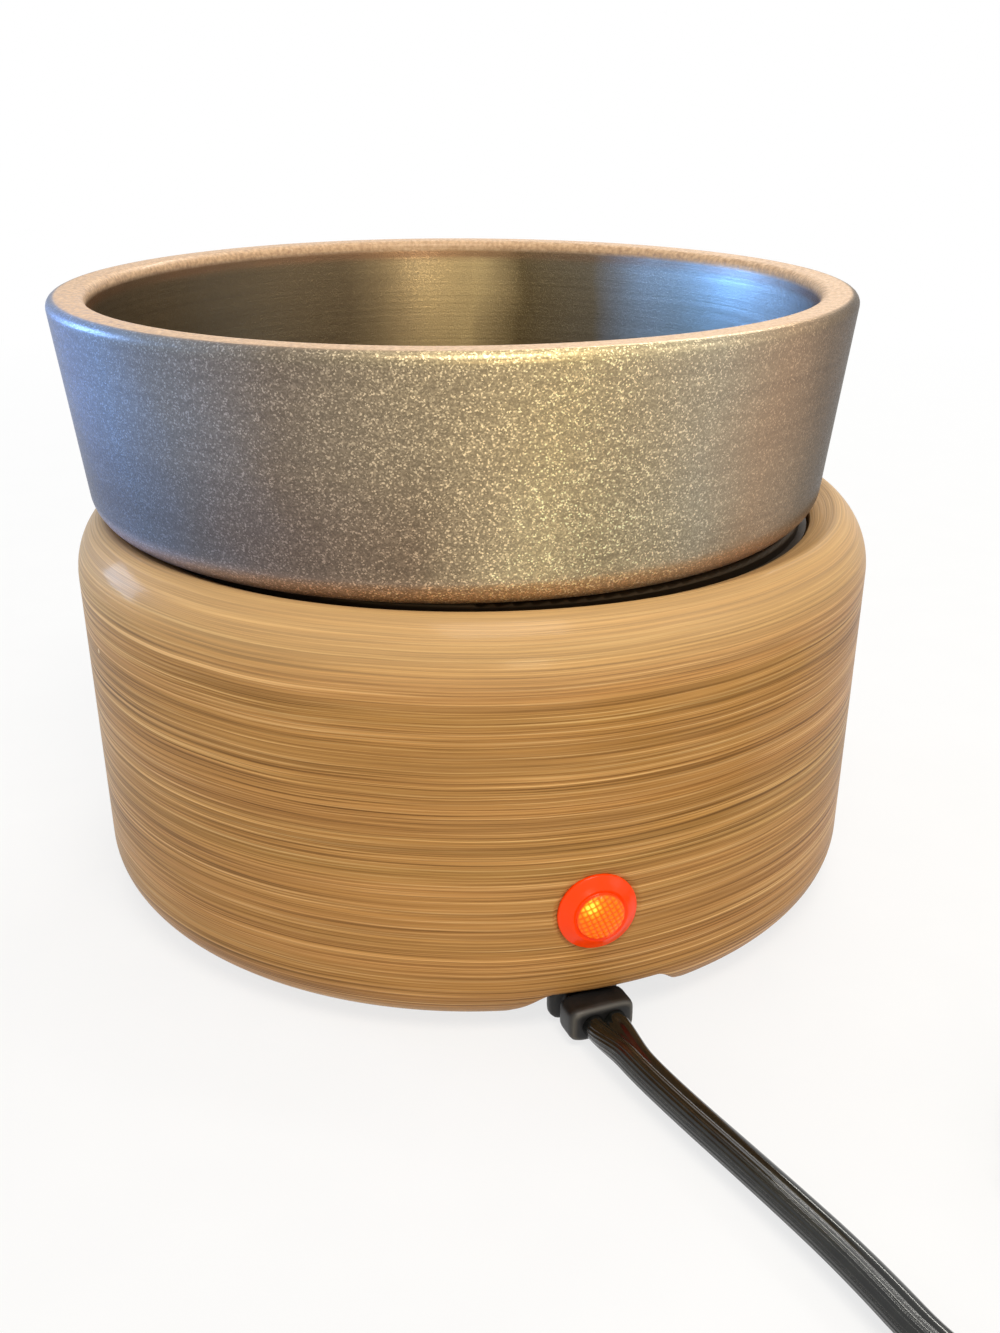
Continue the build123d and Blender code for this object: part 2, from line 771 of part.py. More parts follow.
with BuildPart() as thermal_fuse:
    with BuildSketch(Plane(origin=(left_terminal.X, left_terminal.Y, fuse_foot))):
        Circle(fuse_radius)
    extrude(amount=fuse_length)
    chamfer(thermal_fuse.edges().filter_by(GeomType.CIRCLE), fuse_radius / 4)
thermal_fuse.part.label = "thermal_fuse"
export_step(thermal_fuse.part, "parts/thermal_fuse.step")

bulb_back = lamp_plane.offset(-bulb_end)
lamp_routes = []
for side in (-1, 1):
    behind = bulb_back.origin + lamp_plane.x_dir * side * lamp_lead_spread
    mouth = side * (splice_spread + lamp_entry)
    lamp_routes.append([
        behind,
        behind - lamp_plane.z_dir * 4,
        inside(splice_inset / 2, side * 2 * splice_spread, splice_top + arch_height / 2),
        inside(splice_inset, mouth, splice_top + arch_height - 1),
        inside(splice_inset, mouth, splice_top),
    ])
resistor_start = between(lamp_routes[1][1], lamp_routes[1][2], resistor_length * 0.7)
resistor_end = between(resistor_start, lamp_routes[1][2], resistor_length)
with BuildPart() as lamp_leads:
    add(round_wire(lamp_routes[0], lamp_lead_radius))
    add(round_wire([*lamp_routes[1][:2], resistor_start], lamp_lead_radius))
    add(round_wire([resistor_end, *lamp_routes[1][2:]], lamp_lead_radius))
lamp_leads.part.label = "lamp_leads"
export_step(lamp_leads.part, "parts/lamp_leads.step")

with BuildPart() as lamp_resistor:
    with BuildSketch(Plane(origin=resistor_start, z_dir=resistor_end - resistor_start)):
        Circle(resistor_radius)
    extrude(amount=resistor_length)
lamp_resistor.part.label = "lamp_resistor"
export_step(lamp_resistor.part, "parts/lamp_resistor.step")

# ------------------------------------------------------------- cord to the switch

floor_height = cord_lift + cord_thickness / 2
switch_height_in = switch_lift + switch_parting
lead_start = grip_plane.origin
lead_level = lead_start + grip_plane.z_dir * 7
lead_points = [
    tuple(lead_start),
    tuple(lead_level),
    (27.0, -83.3, floor_height),
    (38.6, -102.5, floor_height),
    (46.3, -115.9, floor_height),
    (53.0, -130.5, floor_height),
    (61.7, -140.2, switch_height_in),
    (73.8, -147.2, switch_height_in),
]
switch_direction = across(switch_heading)
lead_end = Vector(*lead_points[-2]) + switch_direction * lead_straight_run
lead_points[-1] = tuple(lead_end)
with BuildPart() as cord_lead:
    add(flat_cord("cord_lead", lead_points))
cord_lead.part.label = "cord_lead"
export_step(cord_lead.part, "parts/cord_lead.step")

# ----------------------------------------------------------------------- switch

switch_side = Vector(-switch_direction.Y, switch_direction.X, 0)
switch_middle = lead_end + switch_direction * switch_length / 2
switch_plane = Plane(
    origin=(switch_middle.X, switch_middle.Y, switch_height_in),
    x_dir=switch_direction,
    z_dir=(0, 0, 1),
)
wheel_y = -wheel_offset
half_length, half_width, half_end = switch_length / 2, switch_width / 2, switch_end_width / 2
switch_outline = [
    (half_length, half_end),
    (half_length - switch_shoulder, half_width),
    (-half_length + switch_shoulder, half_width),
    (-half_length, half_end),
    (-half_length, -half_end),
    (-half_length + switch_shoulder, -half_width),
    (half_length - switch_shoulder, -half_width),
    (half_length, -half_end),
]
chamber_radius = wheel_radius + wheel_gap
chamber_half = wheel_thickness / 2 + wheel_gap
axle_hole_depth = wheel_thickness / 2 + axle_reach + wheel_gap / 2
halves = {"switch_base": -switch_parting, "switch_top": switch_height - switch_parting}
for half_name, reach in halves.items():
    sign = math.copysign(1, reach)
    with BuildPart() as switch_half:
        with BuildSketch(switch_plane):
            with BuildLine():
                Polyline(*switch_outline, close=True)
            make_face()
        extrude(amount=reach)
        outer_face = switch_half.faces().sort_by(Axis.Z)[-1 if sign > 0 else 0]
        fillet(outer_face.edges(), switch_round)
        with BuildSketch(switch_plane):
            with Locations((0, wheel_y)):
                Circle(chamber_radius)
        extrude(amount=sign * chamber_half, mode=Mode.SUBTRACT)
        with BuildSketch(switch_plane):
            with Locations((0, wheel_y)):
                Circle(axle_radius + axle_gap)
        extrude(amount=sign * axle_hole_depth, mode=Mode.SUBTRACT)
        with BuildSketch(switch_plane):
            with Locations((switch_screw_at, 0), (-switch_screw_at, 0)):
                Circle(switch_screw_radius)
        screw_depth = switch_parting if sign < 0 else switch_screw_reach - switch_parting
        extrude(amount=sign * screw_depth, mode=Mode.SUBTRACT)
        if sign < 0:
            with BuildSketch(switch_plane.offset(-switch_parting)):
                with Locations((switch_screw_at, 0), (-switch_screw_at, 0)):
                    Circle(switch_screw_head_radius)
            extrude(amount=switch_screw_head, mode=Mode.SUBTRACT)
            with BuildSketch(switch_plane):
                with Locations((contact_at, 0), (-contact_at, 0)):
                    Rectangle(contact_size[0], contact_size[1])
            extrude(amount=-contact_size[2], mode=Mode.SUBTRACT)
    switch_half.part.label = half_name
    export_step(switch_half.part, f"parts/{half_name}.step")

with BuildPart() as switch_contacts:
    with BuildSketch(switch_plane):
        with Locations((contact_at, 0), (-contact_at, 0)):
            Rectangle(contact_size[0], contact_size[1])
    extrude(amount=-contact_size[2])
switch_contacts.part.label = "switch_contacts"
export_step(switch_contacts.part, "parts/switch_contacts.step")

with BuildPart() as switch_screws:
    with BuildSketch(switch_plane.offset(-switch_parting)):
        with Locations((switch_screw_at, 0), (-switch_screw_at, 0)):
            Circle(switch_screw_radius)
    extrude(amount=switch_screw_reach)
    with BuildSketch(switch_plane.offset(-switch_parting)):
        with Locations((switch_screw_at, 0), (-switch_screw_at, 0)):
            Circle(switch_screw_head_radius)
    extrude(amount=switch_screw_head)
switch_screws.part.label = "switch_screws"
export_step(switch_screws.part, "parts/switch_screws.step")

with BuildPart() as switch_wheel:
    with BuildSketch(switch_plane.offset(-wheel_thickness / 2)):
        with Locations((0, wheel_y)):
            Circle(wheel_radius - wheel_rib_depth)
            with PolarLocations(wheel_radius - wheel_rib_depth, wheel_rib_count):
                Rectangle(2 * wheel_rib_depth * 0.94, wheel_rib_width)
    extrude(amount=wheel_thickness)
    with BuildSketch(switch_plane.offset(-wheel_thickness / 2 - axle_reach)):
        with Locations((0, wheel_y)):
            Circle(axle_radius)
    extrude(amount=wheel_thickness + 2 * axle_reach)
switch_wheel.part.label = "switch_wheel"
export_step(switch_wheel.part, "parts/switch_wheel.step")
wheel_axis = switch_plane.from_local_coords((0, wheel_y, 0))
print("wheel axis", wheel_axis)

# ------------------------------------------------------------------------- coil

pitch = cord_width + coil_gap
coil_low = tie_lift + tie_thickness + tie_gap + cord_thickness / 2
coil_high = coil_low + cord_thickness + layer_gap
right_end = coil_centre_x + coil_start_radius
coil_knots = [Vector(right_end, coil_centre_y, coil_low)]
radius = coil_start_radius
for half_turn in range(coil_turns_in):
    direction = -1 if half_turn % 2 == 0 else 1
    coil_knots.append(coil_knots[-1] + Vector(direction * 2 * radius, 0, 0))
    radius -= pitch / 2
climb_start = coil_knots[-1]
climb_end = Vector(climb_start.X + 2 * radius, coil_centre_y, coil_high)
out_knots = [climb_end]
for half_turn in range(coil_turns_out):
    radius += pitch / 2
    direction = -1 if half_turn % 2 == 0 else 1
    out_knots.append(out_knots[-1] + Vector(direction * 2 * radius, 0, 0))
up, down = Vector(0, 1, 0), Vector(0, -1, 0)
with BuildPart() as cord_coil:
    with BuildLine() as coil_route:
        Line(coil_knots[0] + down * coil_run_in, coil_knots[0])
        for index in range(coil_turns_in):
            heading = up if index % 2 == 0 else down
            TangentArc(coil_knots[index], coil_knots[index + 1], tangent=heading)
        chord = climb_end - climb_start
        joint = (climb_start + climb_end) * 0.5 + down * (chord.length / 2)
        TangentArc(climb_start, joint, tangent=down)
        TangentArc(joint, climb_end, tangent=chord)
        for index in range(coil_turns_out):
            heading = up if index % 2 == 0 else down
            TangentArc(out_knots[index], out_knots[index + 1], tangent=heading)
        Line(out_knots[-1], out_knots[-1] + up * coil_run_out)
    coil_path = coil_route.wire()
    add(flat_section(coil_path))
    sweep(path=coil_path)
cord_coil.part.label = "cord_coil"
export_step(cord_coil.part, "parts/cord_coil.step")
report_tube("cord_coil", cord_coil.part, coil_path)

samples = [coil_path @ (step / 400) for step in range(401)]
step_length = coil_path.length / 400
least_gap = math.inf
for index, one in enumerate(samples):
    for other in samples[index + int(4 * cord_width / step_length):]:
        flat_distance = math.hypot(one.X - other.X, one.Y - other.Y) - cord_width
        least_gap = min(least_gap, max(flat_distance, abs(one.Z - other.Z) - cord_thickness))
print("cord_coil least gap to itself", round(least_gap, 2))

tie_inner = abs(coil_knots[-1].X - coil_knots[1].X) + cord_width + 2 * tie_side_gap
tie_centre = (coil_knots[-1].X + coil_knots[1].X) / 2
tie_height = coil_high - coil_low + cord_thickness + 2 * tie_gap + coil_roll
tie_middle = (coil_high + coil_low + coil_roll) / 2
with BuildPart() as coil_tie:
    with BuildSketch(Plane.XZ.offset(-coil_centre_y - tie_width / 2)):
        with Locations((tie_centre, tie_middle)):
            Rectangle(tie_inner + 2 * tie_thickness, tie_height + 2 * tie_thickness)
            Rectangle(tie_inner, tie_height, mode=Mode.SUBTRACT)
    extrude(amount=tie_width)
coil_tie.part.label = "coil_tie"
export_step(coil_tie.part, "parts/coil_tie.step")

# --------------------------------------------- cord from the switch to the coil

link_start = lead_end + switch_direction * switch_length
link_end = coil_knots[0] + down * coil_run_in
link_points = [link_start]
swing = (180 - switch_heading) / (len(link_runs) + 1)
for turns, run in enumerate(link_runs):
    link_points.append(link_points[-1] + across(switch_heading + turns * swing) * run)
last_aim = across(switch_heading + len(link_runs) * swing)
last_turn = link_points[-1] + last_aim * ((link_end.X - link_points[-1].X) / last_aim.X)
link_points.append(last_turn)
link_points.append(link_end)
link_fall = (switch_height_in + floor_height) / 2
heights = [switch_height_in, switch_height_in, link_fall, floor_height, coil_low, coil_low]
link_route = [(point.X, point.Y, level) for point, level in zip(link_points, heights)]
with BuildPart() as cord_link:
    add(flat_cord("cord_link", link_route))
cord_link.part.label = "cord_link"
export_step(cord_link.part, "parts/cord_link.step")

# ------------------------------------------------------------- cord tail and plug

plug_axis = plug_lift + plug_height / 2
tail_start = out_knots[-1] + up * coil_run_out
tail_points = [
    tuple(tail_start),
    (tail_start.X, tail_start.Y + tail_length * 0.3, coil_high),
    (tail_start.X, tail_start.Y + tail_length * 0.7, plug_axis),
    (tail_start.X, tail_start.Y + tail_length, plug_axis),
]
with BuildPart() as cord_tail:
    add(flat_cord("cord_tail", tail_points))
cord_tail.part.label = "cord_tail"
export_step(cord_tail.part, "parts/cord_tail.step")

plug_plane = Plane(origin=tail_points[-1], x_dir=(1, 0, 0), z_dir=(0, 1, 0))
blade_places = [(-blade_spacing / 2, 0), (blade_spacing / 2, 0)]
with BuildPart() as plug_body:
    with BuildSketch(plug_plane):
        RectangleRounded(plug_tail_width, plug_tail_height, plug_round)
    with BuildSketch(plug_plane.offset(plug_tail_length)):
        RectangleRounded(plug_width, plug_height, plug_round)
    loft(ruled=True)
    with BuildSketch(plug_plane.offset(plug_tail_length)):
        RectangleRounded(plug_width, plug_height, plug_round)
    extrude(amount=plug_length - plug_tail_length)
    with BuildSketch(plug_plane.offset(plug_length)):
        with Locations(*blade_places):
            Rectangle(blade_thickness, blade_height)
    extrude(amount=-blade_root, mode=Mode.SUBTRACT)
plug_body.part.label = "plug_body"
export_step(plug_body.part, "parts/plug_body.step")

with BuildPart() as plug_blades:
    with BuildSketch(plug_plane.offset(plug_length - blade_root)):
        with Locations(*blade_places):
            Rectangle(blade_thickness, blade_height)
    extrude(amount=blade_root + blade_length)
    hole_y = tail_points[-1][1] + plug_length + blade_length - blade_hole_from_tip
    with Locations(Plane(origin=(tail_start.X, hole_y, plug_axis), z_dir=(1, 0, 0))):
        Cylinder(blade_hole_radius, 2 * blade_spacing, mode=Mode.SUBTRACT)
plug_blades.part.label = "plug_blades"
export_step(plug_blades.part, "parts/plug_blades.step")
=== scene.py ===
# %% [markdown]
# # An electric candle warmer with its wax dish
# The object is a slip-cast ceramic base with brushed tan glaze, a hot plate sunk in its mouth, and a
# loose ceramic dish in a pewter glaze that glitters. An orange pilot lamp sits in the front, and a
# flat black cord leaves through a notch in the bottom edge.
#
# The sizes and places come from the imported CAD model, which is loaded first. Everything is in metres.

# %% Load the frame
import json
import math

import bpy
import numpy as np
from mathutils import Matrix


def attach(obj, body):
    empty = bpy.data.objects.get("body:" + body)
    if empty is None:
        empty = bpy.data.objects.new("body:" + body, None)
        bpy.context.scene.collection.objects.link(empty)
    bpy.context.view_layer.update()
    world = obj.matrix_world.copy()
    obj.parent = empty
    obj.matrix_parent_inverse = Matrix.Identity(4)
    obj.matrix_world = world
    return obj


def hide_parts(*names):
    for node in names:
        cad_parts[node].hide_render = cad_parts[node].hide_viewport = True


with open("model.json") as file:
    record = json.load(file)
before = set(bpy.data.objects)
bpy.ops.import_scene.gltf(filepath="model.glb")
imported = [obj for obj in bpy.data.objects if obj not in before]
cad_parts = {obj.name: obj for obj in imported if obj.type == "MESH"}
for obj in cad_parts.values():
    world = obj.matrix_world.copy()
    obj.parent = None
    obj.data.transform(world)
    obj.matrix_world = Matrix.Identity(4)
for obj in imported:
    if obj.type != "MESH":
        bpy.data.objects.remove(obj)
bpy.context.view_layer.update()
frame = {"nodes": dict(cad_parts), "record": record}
nodes = frame["nodes"]
mm = 0.001

# %% [markdown]
# ## The camera
# The photograph looks down on the object by about 22 degrees, from a quarter of a metre in front of
# it and a little above the dish's rim. The long side of the picture is 1333 pixels, and Blender gives
# the sensor's 36 mm to the long side, so a focal length of 1464 pixels is 39.55 mm.

# %% Camera
camera_data = bpy.data.cameras.new("photo_camera")
camera_data.lens = 39.55
camera_data.sensor_width = 36.0
camera_data.clip_start = 0.01
camera = bpy.data.objects.new("photo_camera", camera_data)
bpy.context.scene.collection.objects.link(camera)
camera.location = (0.00031, -0.2516, 0.1374)
camera.rotation_euler = (math.radians(90 - 22.33), 0, math.radians(-1.0))
bpy.context.scene.camera = camera
print("camera at", tuple(camera.location))

# %% [markdown]
# ## Making surfaces from arrays
# Every new piece is a grid of points: a function of two parameters, worked out for the whole grid at
# once. One helper turns such a grid into a mesh. A grid may close on itself along its rows and along
# its columns, and a flat face may close each of its two ends.

# %% Grid to mesh


def grid_mesh(name, points, wrap_rows=False, wrap_columns=True, cap=False, uv=None, flip=False):
    """Makes a mesh from points of shape (rows, columns, 3).

    The face between row i and i + 1 and column j and j + 1 joins their four points. cap closes the
    first and last row with one n-sided face each. uv has shape (rows, columns, 2).
    """
    rows, columns = points.shape[:2]
    index = np.arange(rows * columns).reshape(rows, columns)
    if wrap_rows:
        index = np.vstack([index, index[:1]])
    if wrap_columns:
        index = np.hstack([index, index[:, :1]])
    quads = np.stack([index[:-1, :-1], index[:-1, 1:], index[1:, 1:], index[1:, :-1]], axis=-1)
    quads = quads.reshape(-1, 4)
    if flip:
        quads = quads[:, ::-1]
    faces = quads.tolist()
    if cap:
        first, last = index[0, :columns][::-1], index[-1, :columns]
        faces += [(first[::-1] if flip else first).tolist(), (last[::-1] if flip else last).tolist()]
    mesh = bpy.data.meshes.new(name)
    mesh.from_pydata(points.reshape(-1, 3).tolist(), [], faces)
    if uv is not None:
        corners = np.zeros(len(mesh.loops), dtype=np.int32)
        mesh.loops.foreach_get("vertex_index", corners)
        layer = mesh.uv_layers.new(name="UVMap")
        layer.data.foreach_set("uv", uv.reshape(-1, 2)[corners].astype(np.float32).ravel())
    mesh.polygons.foreach_set("use_smooth", np.ones(len(mesh.polygons), dtype=bool))
    mesh.update()
    return mesh


def place(name, mesh, body, material, replaced=()):
    """Puts a finished mesh in the scene, on its body, and in place of CAD nodes."""
    piece = bpy.data.objects.new(name, mesh)
    bpy.context.scene.collection.objects.link(piece)
    piece.data.materials.append(material)
    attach(piece, body)
    if replaced:
        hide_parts(*replaced)
    print(name, "faces", len(mesh.polygons))
    return piece


def set_mask(mesh, name, values):
    """Stores one number for each vertex, which a material reads by name."""
    layer = mesh.attributes.new(name, "FLOAT", "POINT")
    layer.data.foreach_set("value", values.astype(np.float32).ravel())


def set_row_mask(mesh, name, row_values, columns):
    """Stores a mask for a grid in which all the points of a row have the same value."""
    set_mask(mesh, name, np.repeat(row_values[:, None], columns, axis=1))


def grid_uv(across, along):
    """UV for a grid: across is 0 to 1 along a row, and along is the way down the rows in metres."""
    return np.stack(np.broadcast_arrays(across[None, :], along[:, None]), axis=-1)


def smooth_step(low, high, value):
    """0 below low, 1 above high, and 3t^2 - 2t^3 between them."""
    t = np.clip((value - low) / (high - low), 0, 1)
    return t * t * (3 - 2 * t)


# %% [markdown]
# ## Profiles with rounded corners
# A pot is a profile turned round an axis. The profile is drawn as corners with a radius each, as on a
# drawing: the arc at a corner starts and ends at a distance of radius times the tangent of half the
# turn.

# %% Rounded profile


def rounded_profile(corners, radii, step):
    """Points along straight lines joined by arcs, about step apart.

    The arc's centre lies on the corner's bisector, at radius over the cosine of half the turn.
    """
    corners = np.array(corners, float)
    points = []
    count = len(corners)
    for i, (at, radius) in enumerate(zip(corners, radii)):
        if radius == 0 or i in (0, count - 1):
            points.append(at[None])
            continue
        arriving = at - corners[i - 1]
        leaving = corners[i + 1] - at
        arriving, leaving = arriving / np.hypot(*arriving), leaving / np.hypot(*leaving)
        turn = math.atan2(arriving[0] * leaving[1] - arriving[1] * leaving[0], arriving @ leaving)
        trim = radius * math.tan(abs(turn) / 2)
        side = math.copysign(1, turn)
        centre = at - arriving * trim + side * radius * np.array([-arriving[1], arriving[0]])
        steps = max(4, int(radius * abs(turn) / step * 1.6) + 1)
        angles = np.linspace(0, turn, steps + 1)
        spoke = at - arriving * trim - centre
        cos, sin = np.cos(angles), np.sin(angles)
        turned = np.stack([spoke[0] * cos - spoke[1] * sin, spoke[0] * sin + spoke[1] * cos], axis=1)
        points.append(centre + turned)
    knots = np.vstack(points)
    filled = []
    for start, end in zip(knots[:-1], knots[1:]):
        pieces = max(1, int(np.hypot(*(end - start)) / step))
        filled.append(start + (end - start) * (np.arange(pieces) / pieces)[:, None])
    filled.append(knots[-1:])
    return np.vstack(filled)


def arc_lengths(profile):
    """How far along the profile each of its points is."""
    return np.concatenate([[0], np.cumsum(np.hypot(*np.diff(profile, axis=0).T))])


# %% [markdown]
# ## The cord's route
# The cord is two wires in one flat jacket, 7.1 mm wide. It leaves the strain relief, drops to the
# table and runs out of the picture to a thumb-wheel switch. Beyond the switch it curves round to a
# neat tied coil, and ends in the plug. The coil spirals in on one layer and out again on the next.
# The route is a NURBS spline of order 3, whose control points are the route's corners: such a curve
# bends smoothly as a cord does.

# %% Route points
lead_points = [
    (0.019196, -0.067836, 0.0037),
    (0.021705, -0.074371, 0.0037),
    (0.0270, -0.0833, 0.0028),
    (0.0386, -0.1025, 0.0028),
    (0.0463, -0.1159, 0.0028),
    (0.0530, -0.1305, 0.0028),
    (0.0617, -0.1402, 0.0049),
    (0.0740613, -0.1467726, 0.0049),
]
link_points = [
    (0.1111451, -0.1664904, 0.0049),
    (0.1235063, -0.1730630, 0.0049),
    (0.1385012, -0.1726703, 0.003425),
    (0.1539302, -0.1633997, 0.00195),
    (0.1643, -0.1450711, 0.00245),
    (0.1643, -0.1167300, 0.00245),
]
coil_low, coil_high = 0.00245, 0.00705
coil_centre = (0.1198, -0.1048)
coil_radius, coil_step, half_turns = 0.0445, 0.00385, 10


def half_turn_points(left, right, rising, start_height, end_height):
    """Six control points round half a circle: the corners of the twelve-sided figure outside it."""
    middle, radius = (left + right) / 2, (right - left) / 2
    angles = np.radians(np.arange(15, 180, 30))
    reach = radius / math.cos(math.radians(15))
    side = 1 if rising else -1
    x = middle + side * reach * np.cos(angles)
    y = coil_centre[1] + side * reach * np.sin(angles)
    z = start_height + (end_height - start_height) * (np.arange(6) + 0.5) / 6
    return np.stack([x, y, z], axis=1)


knot, radius, coil_points = coil_centre[0] + coil_radius, coil_radius, []
for half_turn in range(half_turns):
    rising = half_turn % 2 == 0
    inward = half_turn < half_turns // 2
    other = knot - 2 * radius if rising else knot + 2 * radius
    start = coil_low if half_turn <= half_turns // 2 else coil_high
    end = coil_low if inward else coil_high
    coil_points.append(half_turn_points(min(knot, other), max(knot, other), rising, start, end))
    knot = other
    radius += -coil_step if inward else coil_step
coil_points = np.vstack(coil_points)
tail_points = [
    (knot, coil_centre[1] + 0.014, coil_high),
    (knot, coil_centre[1] + 0.023, coil_high),
    (knot, coil_centre[1] + 0.035, 0.0076),
    (knot, coil_centre[1] + 0.044, 0.0076),
]
supply_points = link_points + [tuple(point) for point in coil_points] + tail_points
print("coil ends at x", round(knot, 5), "with", len(supply_points), "points")

# %% [markdown]
# ## The jacket
# A spline with a round bevel would make a round cord, so the jacket is its own surface. Its outline
# is two circles with a valley where they meet. At each point of the route the outline stands square
# to the curve. A flat cord lies on its broad side, so the outline is level, but the stretch in front
# of the object has kept a twist that lifts its left wire.

# %% Cord surface


def spline_points(name, points):
    """Points along the NURBS spline with these control points, as Blender works them out."""
    curve = bpy.data.curves.new(name, "CURVE")
    curve.dimensions = "3D"
    curve.resolution_u = 14
    spline = curve.splines.new("NURBS")
    spline.points.add(len(points) - 1)
    spline.points.foreach_set("co", [c for point in points for c in (*point, 1.0)])
    spline.order_u = 3
    spline.use_endpoint_u = True
    carrier = bpy.data.objects.new(name, curve)
    line = bpy.data.meshes.new_from_object(carrier)
    found = np.zeros(len(line.vertices) * 3)
    line.vertices.foreach_get("co", found)
    bpy.data.objects.remove(carrier)
    bpy.data.meshes.remove(line)
    bpy.data.curves.remove(curve)
    return found.reshape(-1, 3)


def cord_outline(lobe_radius=1.8, lobe_offset=1.75, count=48):
    """Two circles and the web between them, as points (across, up), counter-clockwise.

    The height at x is sqrt(radius^2 - (|x| - offset)^2), and no less than the web's.
    """
    angle = np.arange(count) * 2 * np.pi / count
    across = (lobe_offset + lobe_radius) * np.cos(angle)
    from_lobe = np.abs(across) - lobe_offset
    circle = np.sqrt(np.clip(lobe_radius**2 - from_lobe**2, 0, None))
    height = np.maximum(circle, 0.62 * np.exp(-((across / 0.5) ** 2)))
    valley = 1 - 0.34 * np.exp(-((across / 0.42) ** 2))
    up = np.sign(np.sin(angle)) * height * valley
    up[np.abs(np.sin(angle)) < 1e-9] = 0
    return np.stack([across, up], axis=1) * mm


def cord_mesh(name, path, twist=0.0):
    """The outline carried along the path: point = path + across * side + up * upward.

    The side is level at both ends, and rolled by the twist in between, where the roll is
    twist * smooth(0..10 mm from the start) * smooth(0..22 mm from the end).
    """
    travelled = np.concatenate([[0], np.cumsum(np.linalg.norm(np.diff(path, axis=0), axis=1))])
    roll = twist * smooth_step(0, 0.010, travelled) * smooth_step(0, 0.022, travelled[-1] - travelled)
    tangent = np.gradient(path, axis=0)
    tangent /= np.linalg.norm(tangent, axis=1)[:, None]
    level = np.cross(tangent, (0, 0, 1))
    level /= np.linalg.norm(level, axis=1)[:, None]
    lifted = np.cross(level, tangent)
    cos, sin = np.cos(roll)[:, None], np.sin(roll)[:, None]
    side = level * cos + lifted * sin
    upward = lifted * cos - level * sin
    outline = cord_outline()
    points = path[:, None] + outline[None, :, :1] * side[:, None] + outline[None, :, 1:] * upward[:, None]
    around = np.arange(len(outline)) / len(outline)
    print(name, "length", round(travelled[-1], 4))
    mesh = grid_mesh(name, points, cap=True, uv=grid_uv(around, travelled), flip=True)
    return mesh, travelled[-1]


lead_path = spline_points("lead_route", lead_points)
supply_path = spline_points("supply_route", supply_points)

# %% [markdown]
# ## Helpers for finishes
# A finish is a small network of nodes that ends in one Principled shader. The helpers below make a
# material, read coordinates, and add noise or a colour ramp, so that each finish reads as a recipe.
# A scale of 1000 makes noise whose features are about a millimetre wide.

# %% Node helpers


class Finish:
    """A material and short ways to add the nodes that most finishes need."""

    def __init__(self, name, roughness=0.5, metallic=0.0, **sockets):
        self.material = bpy.data.materials.new(name)
        self.material.use_nodes = True
        self.tree = self.material.node_tree
        self.shader = self.tree.nodes["Principled BSDF"]
        self.shader.inputs["Roughness"].default_value = roughness
        self.shader.inputs["Metallic"].default_value = metallic
        for socket, value in sockets.items():
            self.shader.inputs[socket.replace("_", " ")].default_value = value
        self.coordinates = self.tree.nodes.new("ShaderNodeTexCoord")

    def node(self, kind, **settings):
        made = self.tree.nodes.new(kind)
        for key, value in settings.items():
            setattr(made, key, value)
        return made

    def link(self, source, target):
        self.tree.links.new(source, target)

    def scaled(self, scale, source="Object"):
        mapping = self.node("ShaderNodeMapping")
        mapping.inputs["Scale"].default_value = np.broadcast_to(scale, 3)
        self.link(self.coordinates.outputs[source], mapping.inputs["Vector"])
        return mapping.outputs["Vector"]

    def parts(self, vector):
        made = self.node("ShaderNodeSeparateXYZ")
        self.link(vector, made.inputs["Vector"])
        return made.outputs

    def noise(self, vector, detail, roughness=0.55):
        made = self.node("ShaderNodeTexNoise")
        made.inputs["Scale"].default_value = 1.0
        made.inputs["Detail"].default_value = detail
        made.inputs["Roughness"].default_value = roughness
        self.link(vector, made.inputs["Vector"])
        return made.outputs["Fac"]

    def cells(self, vector):
        made = self.node("ShaderNodeTexVoronoi")
        made.inputs["Scale"].default_value = 1.0
        self.link(vector, made.inputs["Vector"])
        return made

    def ramp(self, source, stops):
        made = self.node("ShaderNodeValToRGB")
        elements = made.color_ramp.elements
        while len(elements) < len(stops):
            elements.new(0.5)
        for element, (position, colour) in zip(elements, stops):
            element.position = position
            element.color = (*colour, 1) if len(colour) == 3 else colour
        self.link(source, made.inputs["Fac"])
        return made.outputs["Color"]

    def mix(self, factor, first, second, blend="MIX"):
        made = self.node("ShaderNodeMix", data_type="RGBA", blend_type=blend)
        for socket, value in ((0, factor), (6, first), (7, second)):
            if isinstance(value, bpy.types.NodeSocket):
                self.link(value, made.inputs[socket])
            elif socket == 0:
                made.inputs[0].default_value = value
            else:
                made.inputs[socket].default_value = (*value, 1)
        return made.outputs[2]

    def tinted(self, tone, tint, share=1.0):
        return self.mix(share, tone, tint, "MULTIPLY")

    def math(self, operation, *values):
        made = self.node("ShaderNodeMath", operation=operation)
        for i, value in enumerate(values):
            if isinstance(value, bpy.types.NodeSocket):
                self.link(value, made.inputs[i])
            else:
                made.inputs[i].default_value = value
        return made.outputs[0]

    def range(self, source, low, high, to_low, to_high):
        made = self.node("ShaderNodeMapRange")
        self.link(source, made.inputs["Value"])
        for key, value in zip(("From Min", "From Max", "To Min", "To Max"), (low, high, to_low, to_high)):
            made.inputs[key].default_value = value
        return made.outputs["Result"]

    def mask(self, name):
        return self.node("ShaderNodeAttribute", attribute_name=name).outputs["Fac"]

    def bump(self, height, distance, strength=1.0, before=None):
        made = self.node("ShaderNodeBump")
        made.inputs["Distance"].default_value = distance
        made.inputs["Strength"].default_value = strength
        self.link(height, made.inputs["Height"])
        if before is not None:
            self.link(before, made.inputs["Normal"])
        return made.outputs["Normal"]

    def colour(self, source):
        self.link(source, self.shader.inputs["Base Color"])

    def normal(self, source):
        self.link(source, self.shader.inputs["Normal"])

    def rough(self, source):
        self.link(source, self.shader.inputs["Roughness"])


